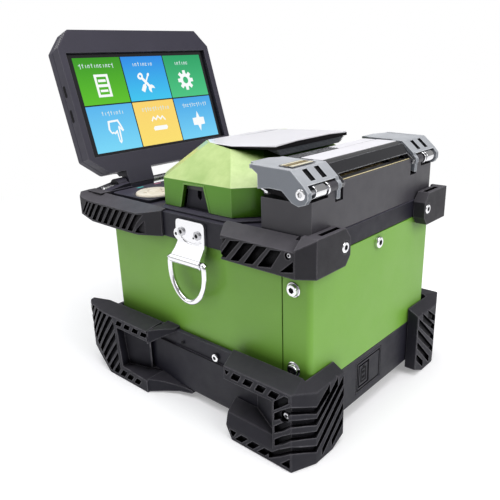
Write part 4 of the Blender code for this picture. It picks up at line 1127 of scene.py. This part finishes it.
# x start, x end, v
CAPTIONS = (
    (25.6, 52.6, 56.4), (-7.4, 11.0, 56.3), (-41.0, -27.8, 56.0),
    (27.2, 46.6, 25.3), (-12.6, 11.4, 25.2), (-49.8, -24.2, 25.0))


def caption(order, start, end, v):
    parts = []
    x = start
    k = order * 2
    while x < end - 1.4:
        for x0, v0, x1, v1 in STROKES[(k * 3 + k // 4) % 5]:
            parts.append(prism(rect(x + x0 * STROKE_WIDE, x + x1 * STROKE_WIDE,
                                    v + v0 * STROKE_TALL, v + v1 * STROKE_TALL),
                               "y", ICON_Y0, ICON_Y1))
        x += SIGN_PITCH
        k += 1
    pool("captions", on_display(merge(*parts)), CAPTION_WHITE, "display", "screen", sharp=60)


for order, row in enumerate(CAPTIONS):
    caption(order, *row)

# ================================================================= display casing
# slots in the side edges
for v0, v1 in ((38.4, 45.6), (22.6, 30.6)):
    for sign, side in SIDES:
        slot = side_prism(sign, rounded_rect(-4.4, -2.0, v0, v1, 1.0, 4), 63.9, 64.12)
        pool("display_slots", on_display(slot), GROOVE, "display", "display_plastic")


def grille_bar(sign, k):
    """One of seven bars down the slanted upper corner."""
    run, rise = 10, 11.5                # the corner's slant, inward and up
    t = 0.12 + 0.76 * k / 6
    out = Vector((rise, 0, run)).normalized()
    along = Vector((-run, 0, rise)).normalized()
    matrix = Matrix(((along.x, 0, out.x, 64 - run * t), (0, 1, 0, 0),
                     (along.z, 0, out.z, 67.5 + rise * t), (0, 0, 0, 1)))
    bar = box(-0.42, 0.42, -3.6, 0.8, -0.1, 0.28)
    bmesh.ops.transform(bar, matrix=matrix, verts=bar.verts[:])
    if sign < 0:
        bmesh.ops.scale(bar, vec=(-1, 1, 1), verts=bar.verts[:])
    return on_display(bar)


for sign, side in SIDES:
    for k in range(7):
        pool("display_grille", grille_bar(sign, k), GRILLE, "display", "display_plastic",
             bevel=0.1)

# raised panel on the back, and four screws
back_panel = loft([[(x, -13.0, v) for x, v in rounded_rect(-40, 40, 4, 58, 5, 5)],
                   [(x, -13.35, v) for x, v in rounded_rect(-39.5, 39.5, 4.5, 57.5, 5, 5)]])
piece("display_back_panel", on_display(back_panel), CASING, "display", "display_plastic",
      bevel=0.12)
back_normal = Matrix.Rotation(SCREEN_TILT, 3, "X") @ Vector((0, -1, 0))
for x, v in ((-52, 8), (52, 8), (-52, 60), (52, 60)):
    screw(TURN @ Vector((x, -12.85, v)), back_normal, radius=1.9, height=0.7, cross=True,
          body="display", mat=STEEL)

# ================================================================= deck keys
NAV = (41.5, -56.5)                     # middle of the navigation key
KEY_FLOOR = 115.4
# profiles of the keys, as (radius, z)
NAV_RING = (
    (0, 118.3), (5.0, 118.25), (9.0, 118.0), (10.9, 117.7), (11.8, 117.2), (12.2, 116.4),
    (12.2, KEY_FLOOR), (0, KEY_FLOOR))
NAV_OPENING = ((0, 120), (5.2, 120), (4.6, 118.0), (4.6, 110), (0, 110))
NAV_CENTRE = (
    (0, 118.85), (2.4, 118.75), (3.6, 118.5), (4.1, 118.1), (4.3, 117.5),
    (4.3, KEY_FLOOR), (0, KEY_FLOOR))
ROUND_KEY = (
    (0, 117.75), (2.6, 117.8), (3.7, 118.0), (4.3, 117.9), (4.6, 117.4),
    (4.6, KEY_FLOOR), (0, KEY_FLOOR))


def shifted(bm, x, y):
    bmesh.ops.translate(bm, vec=(x, y, 0), verts=bm.verts[:])
    return bm


def nav_ring():
    """Ring key with a round opening and four arrow heads cut in it."""
    ring = raw("nav_ring_key", shifted(spin(NAV_RING, 56), *NAV))
    boolean(ring, shifted(spin(NAV_OPENING, 40), *NAV))
    for k in range(4):
        arrow = rotated([(7.2, -1.3), (9.6, 0.0), (7.2, 1.3)], math.pi / 2 * k)
        boolean(ring, prism([(NAV[0] + x, NAV[1] + y) for x, y in arrow], "z", 117.75, 120))
    clean(ring)
    finish(ring, CREAM, "nav_ring", "key_cream", ("nav_ring",), sharp=35)


def round_key(node, x):
    cap = raw(f"{node}_cap", shifted(spin(ROUND_KEY, 40), x, -60.0))
    if node == "power_key":
        boolean(cap, box(x - 0.2, x + 0.2, -60.4, -58.2, 117.5, 119))
    finish(cap, CREAM, node, "key_cream", (node,), sharp=35)


nav_ring()
piece("nav_centre_cap", shifted(spin(NAV_CENTRE, 40), *NAV), CREAM, "nav_centre_key",
      "key_cream", replaces=("nav_centre_key",), sharp=35)
round_key("power_key", -36.0)
round_key("reset_key", -50.0)
# flat ring round the navigation key, and two coloured marks
washer((*NAV, 116.2), (0, 0, 1), inner=12.9, outer=14.6, height=0.35, mat=PLASTIC,
       slot="frame_plastic")
piece("deck_mark_teal",
      prism(rounded_rect(34.0, 39.4, -78.7, -76.9, 0.5, 3), "z", 116.15, 116.32), TEAL)
piece("deck_mark_pink",
      prism(rounded_rect(19.0, 24.6, -79.0, -77.4, 0.5, 3), "z", 116.15, 116.32), PINK)

# ================================================================= wind cover
dress("wind_cover", LIME, bevel=0.55, seg=3, angle=12)

# silver panel: x, y, underside z, top z
LID_PANEL = (
    (34.2, -12.6, 149.4, 149.95), (37.4, 7.4, 149.4, 150.0), (33.6, 34.5, 150.6, 151.6),
    (15.0, 34.9, 151.6, 152.5), (-15.0, 34.9, 151.6, 152.5), (-33.6, 34.5, 150.6, 151.6),
    (-37.4, 7.4, 149.4, 150.0), (-34.2, -12.6, 149.4, 149.95), (-26.4, -22.2, 149.4, 149.9),
    (26.4, -22.2, 149.4, 149.9))
piece("lid_panel",
      loft([[(x, y, low) for x, y, low, high in LID_PANEL],
            [(x * 0.997, y * 0.997, high) for x, y, low, high in LID_PANEL]]),
      PANEL, "wind_cover", "cover_panel", replaces=("wind_cover_panel",), bevel=0.18, angle=25)
# dark band under the panel's edge: painted shade where the panel meets the roof
piece("lid_panel_shade_line",
      loft([[(x * 1.004, y * 1.004, low - 0.35 if y < 30 else 149.1)
             for x, y, low, high in LID_PANEL],
            [(x * 1.004, y * 1.004, low + 0.05) for x, y, low, high in LID_PANEL]]),
      GROOVE, "wind_cover", "cover_panel")
piece("lid_grip",
      loft([[(-33.2, 34.4, 151.0), (33.2, 34.4, 151.0), (27.4, 33.6, 145.2), (-27.4, 33.6, 145.2)],
            [(-30.0, 24.6, 150.4), (30.0, 24.6, 150.4), (27.4, 24.6, 147.3),
             (-27.4, 24.6, 147.3)]]),
      HANDLE, "wind_cover", "handle_grey", replaces=("wind_cover_handle",), bevel=0.4, angle=25)
# fine line across the panel near its front edge, and grip lines on the rear lip
piece("panel_line", box(-30.0, 30.0, -15.6, -15.2, 149.85, 150.08), STEEL, "wind_cover",
      "cover_panel")
for k in range(5):
    z = 146.1 + 0.72 * k
    half = 28.0 + (z - 145.2) * 1.05
    y = 33.6 + (z - 145.2) * 0.128
    pool("handle_grips", box(-half, half, y - 0.2, y + 0.30, z, z + 0.26), HANDLE,
         "wind_cover", "handle_grey", bevel=0.06)

# side windows, (y, z)
WINDOW_FRAME = ((-14.9, 117.3), (-10.9, 131.1), (5.8, 131.5), (9.7, 117.3))
WINDOW_OPENING = (
    (-13.9, 110), (-13.7, 117.0), (-10.0, 130.2), (4.9, 130.6), (8.5, 117.0), (8.7, 110))
for sign, side in SIDES:
    surround = raw(f"window_frame_{side}", side_prism(sign, WINDOW_FRAME, 57.85, 58.2))
    boolean(surround, side_prism(sign, WINDOW_OPENING, 57.85 - 2, 58.2 + 2))
    finish(surround, LIME, "wind_cover", "cover_green", bevel=0.12)
    # dark strip along the top of the window, inside the cover: painted shade under the window's top
    # edge
    pool("window_top_shade", box(sign * 53.4, sign * 55.6, -10.6, 5.6, 127.4, 131.0), SOCKET,
         "wind_cover", "cover_green", bevel=0.3)


# ================================================================= heater
# dark sheets of painted shade, in gaps round the housing's ends and the barrels
def heater_shade_sheet(sign, x0, x1, y0, y1, z0, z1):
    pool("heater_shade_sheets", box(sign * x0, sign * x1, y0, y1, z0, z1), GROOVE, "case",
         "heater_black")


def heater_wire(sign, path):
    pool("heater_wires", tube(on_side(sign, path), 0.42, 12), CHROME, "case", "chrome", sharp=60)


def heater_housing():
    """The housing, cut back along its lower front and at both ends, with dark sheets of painted
    shade in the gaps, and wires.
    """
    housing = copy_node("heater_housing", "heater_body")
    boolean(housing, box(-61, 61, 40, 46.6, 113, 130.6))
    for sign, side in SIDES:
        boolean(housing, box(sign * 52.5, sign * 61, 40, 69.6, 131.6, 141))
        boolean(housing, box(sign * 51.4, sign * 61, 40, 46.6, 113, 141))
        heater_shade_sheet(sign, 52.7, 59.5, 46.8, 69.4, 131.5, 131.7)
        heater_shade_sheet(sign, 52.4, 52.6, 47.2, 67.2, 131.8, 136.4)
        heater_wire(sign, [(60.1, 47.2, 136.0), (60.5, 49.6, 135.3), (60.6, 52.0, 134.9)])
        heater_wire(sign, [(60.0, 49.4, 134.4), (60.2, 51.6, 134.1)])
    clean(housing)
    finish(housing, HOUSING, "case", "heater_black", ("heater_housing",), bevel=0.35)


# two pill grooves in each slanted rear face: inner x, and outlines of the cut and of a dark strip
# of painted shade in it, (y, z)
PILL_X = (45.2, 54.2)
PILL_WIDE = 3.7
PILL_CUT = ((69.95, 147.15), (75.15, 142.5), (73.65, 141.25), (68.5, 145.75))
PILL_SHADE = ((68.95, 145.75), (73.6, 141.7), (73.4, 141.5), (68.8, 145.55))


def hinge_bar(sign, radius, n, x0, x1):
    return side_prism(sign, circle(HINGE_Y, HINGE_Z, radius, n), x0, x1)


def heater_clamp(sign, side):
    node = f"heater_clamp_{side}"
    clamp = copy_node(node, f"heater_clamp_shell_{side}")
    for x in PILL_X:
        boolean(clamp, side_prism(sign, PILL_CUT, x, x + PILL_WIDE))
    clean(clamp)
    finish(clamp, SLATE, node, "clamp_slate", (node,), bevel=0.5, seg=3, angle=25)
    for x in PILL_X:
        pool(f"clamp_groove_shade_{side}", side_prism(sign, PILL_SHADE, x + 0.2, x + 3.5), GROOVE,
             node, "clamp_slate")
    # barrel, its end ring and the pin they turn on
    for radius, x0, x1 in ((3.2, 50.6, 58.9), (3.35, 47.7, 49.0)):
        pool(f"heater_barrel_{side}", hinge_bar(sign, radius, 48, x0, x1), CHROME, "case",
             "chrome", bevel=0.35, seg=3)
    piece(f"heater_pin_{side}", hinge_bar(sign, 1.4, 24, 35.0, 66.0), STEEL, "case", "chrome",
          replaces=(f"heater_pivot_{side}",), sharp=40)
    # painted shade: dark sheets in the barrel pocket
    heater_shade_sheet(sign, 46.9, 59.6, 70.3, 70.5, 132.75, 138.0)
    heater_shade_sheet(sign, 46.9, 59.6, 70.6, 76.2, 132.5, 132.7)
    screw((sign * 65.2, HINGE_Y - 0.6, HINGE_Z + 0.2), (sign, 0, 0), radius=2.6, height=1.0,
          body=node)


heater_housing()
piece("heater_trim", prism(rounded_rect(-36.0, 36.0, 74.2, 75.0, 0.3, 2), "z", 138.22, 138.45),
      TRIM, "case", "heater_gold", bevel=0.05)
for sign, side in SIDES:
    heater_clamp(sign, side)

# silver plates and four ribs on the heater cover
dress("heater_cover", GLOSS_BLACK, bevel=0.4, seg=3, angle=25)
COVER_TOP = 147.15
piece("heater_window",
      prism(rounded_rect(-36.6, 36.6, 53.0, 65.6, 0.5, 2), "z", COVER_TOP, 147.45),
      PANEL, "heater_cover", "clamp_slate", bevel=0.1)
piece("heater_window_front",
      prism(rounded_rect(-36.6, 1.2, 45.3, 52.2, 0.5, 2), "z", COVER_TOP, 147.40),
      PANEL, "heater_cover", "clamp_slate", bevel=0.1)
for k in range(4):
    rib = box(2.0, 36.6, 45.5 + 1.75 * k, 46.5 + 1.75 * k, COVER_TOP, 147.55)
    pool("heater_cover_ribs", rib, GLOSS_BLACK, "heater_cover", "clamp_slate", bevel=0.12)

# thin black plate on each end of the housing, painted shade of the gap under the clamp, (y, z)
END_SHADE = ((46.8, 138.0), (46.8, 134.8), (60.0, 133.4), (67.0, 130.4), (71.0, 131.4), (71.0, 138.0))
for sign, side in SIDES:
    pool("heater_end_shade", side_prism(sign, END_SHADE, 59.6, 59.9), GROOVE, "case", "heater_black")

# striped inlay on the flat of the right clamp: y0, y1 and material of each bar
INLAY_CREAM = surface("inlay_cream", colour=(0.86, 0.80, 0.60), rough=0.32, metal=0.2,
                      vary=0.06, grain=0.1)
INLAY_BARS = ((59.2, 60.7, INLAY_CREAM), (61.5, 63.4, GOLD), (64.2, 66.4, INLAY_CREAM))
piece("clamp_inlay_right", prism(rounded_rect(43.6, 61.4, 58.6, 67.2, 0.5, 2), "z", 147.9, 148.04),
      GLOSS_BLACK, "heater_clamp_right", "clamp_slate", bevel=0.05)
for k, (y0, y1, mat) in enumerate(INLAY_BARS):
    piece(f"clamp_inlay_bar_right_{k}",
          prism(rounded_rect(44.4, 60.6, y0, y1, 0.3, 2), "z", 147.95, 148.12),
          mat, "heater_clamp_right", "clamp_slate", bevel=0.04)

# ribs between the wind cover and the heater, on the housing's front edge
for k in range(18):
    x = -25.5 + 3.0 * k
    pool("heater_ribs", box(x - 0.8, x + 0.8, 42.0, 45.6, 136.4, 138.5), SOCKET, "case",
         "heater_black", bevel=0.25)


# ================================================================= stage, lights, camera
# From here on lengths are in metres.
def floor_material():
    """A pale floor that fades to plain white away from the middle."""
    g = Graph("pale_floor")
    g.shader("Base Color", (0.80, 0.80, 0.82))
    g.shader("Roughness", g.remap(g.noise(3.0), target=(0.55, 0.65)))
    g.shader("Specular IOR Level", 0.2)
    g.shader("Emission Color", (1, 1, 1))
    g.shader("Emission Strength", 0.27)
    away = g.add("VectorMath", {0: g.where}, operation="LENGTH")
    fade = g.remap(away.outputs["Value"], source=(0.16, 0.62))
    glow = g.add("Emission", {"Color": (1, 1, 1)})
    both = g.add("MixShader", {0: fade, 1: g.bsdf.outputs[0], 2: glow.outputs[0]})
    g.feed(g.tree.nodes["Material Output"].inputs["Surface"], both.outputs[0])
    return g.mat


def build_floor():
    half, z = 12, -0.0002
    mat = floor_material()
    bm = bmesh.new()
    bm.faces.new([bm.verts.new((x, y, z)) for x, y in rect(-half, half, -half, half)])
    mesh = bpy.data.meshes.new("floor")
    bm.to_mesh(mesh)
    bm.free()
    mesh.materials.append(mat)
    new_object("floor", mesh)


def build_world():
    """White to the camera, and a dimmer white as a light."""
    world = bpy.data.worlds.new("studio")
    bpy.context.scene.world = world
    world.use_nodes = True
    nodes, links = world.node_tree.nodes, world.node_tree.links
    ambient = nodes["Background"]
    ambient.inputs["Color"].default_value = (1.0, 1.0, 1.0, 1)
    ambient.inputs["Strength"].default_value = 0.30
    path = nodes.new("ShaderNodeLightPath")
    backdrop = nodes.new("ShaderNodeBackground")
    backdrop.inputs["Color"].default_value = (1, 1, 1, 1)
    backdrop.inputs["Strength"].default_value = 1.0
    mix = nodes.new("ShaderNodeMixShader")
    links.new(path.outputs["Is Camera Ray"], mix.inputs[0])
    links.new(ambient.outputs[0], mix.inputs[1])
    links.new(backdrop.outputs[0], mix.inputs[2])
    links.new(mix.outputs[0], nodes["World Output"].inputs["Surface"])


LIGHT_TARGET = Vector((0, 0, 0.09))


def area(name, where, size, power, colour=(1, 1, 1)):
    light = bpy.data.lights.new(name, "AREA")
    light.shape = "RECTANGLE"
    light.size, light.size_y = size
    light.energy = power
    light.color = colour
    obj = bpy.data.objects.new(name, light)
    obj.location = where
    obj.rotation_euler = (LIGHT_TARGET - Vector(where)).to_track_quat("-Z", "Y").to_euler()
    bpy.context.scene.collection.objects.link(obj)


def build_camera():
    """Looks from the right rear, down and forward, with a slight roll."""
    data = bpy.data.cameras.new("camera")
    camera = new_object("camera", data)
    yaw, pitch, roll = (math.radians(v) for v in (223.1015, -18.7756, -2.0141))
    forward = Vector((math.cos(pitch) * math.cos(yaw), math.cos(pitch) * math.sin(yaw),
                      math.sin(pitch)))
    level = forward.cross(Vector((0, 0, 1))).normalized()
    upright = level.cross(forward)
    right = math.cos(roll) * level + math.sin(roll) * upright
    up = -math.sin(roll) * level + math.cos(roll) * upright
    turn = Matrix((right, up, -forward)).transposed().to_4x4()
    where = Vector((0.2604, 0.2200 + REF * MM, 0.1950))
    camera.matrix_world = Matrix.Translation(where) @ turn
    data.sensor_width = 36.0
    data.lens = 40.79448
    data.shift_x = 0.018576
    data.shift_y = 0.000066
    data.clip_start = 0.01
    data.clip_end = 50
    bpy.context.scene.camera = camera


build_floor()
build_world()
area("key_rear", where=(-0.10, 1.25, 0.85), size=(0.9, 0.7), power=9.0, colour=(1.0, 0.99, 0.97))
area("top", where=(0.15, 0.10, 1.40), size=(1.2, 1.2), power=17.0)
area("side", where=(0.72, -1.02, 0.84), size=(1.1, 1.1), power=4.2, colour=(0.98, 0.99, 1.0))
build_camera()
bpy.context.scene.view_settings.view_transform = "Standard"
bpy.context.scene.view_settings.look = "None"

# ================================================================= pooled pieces
for name, (bodies, mat, body, slot, shading) in POOL.items():
    piece(name, merge(*bodies), mat, body, slot, **shading)
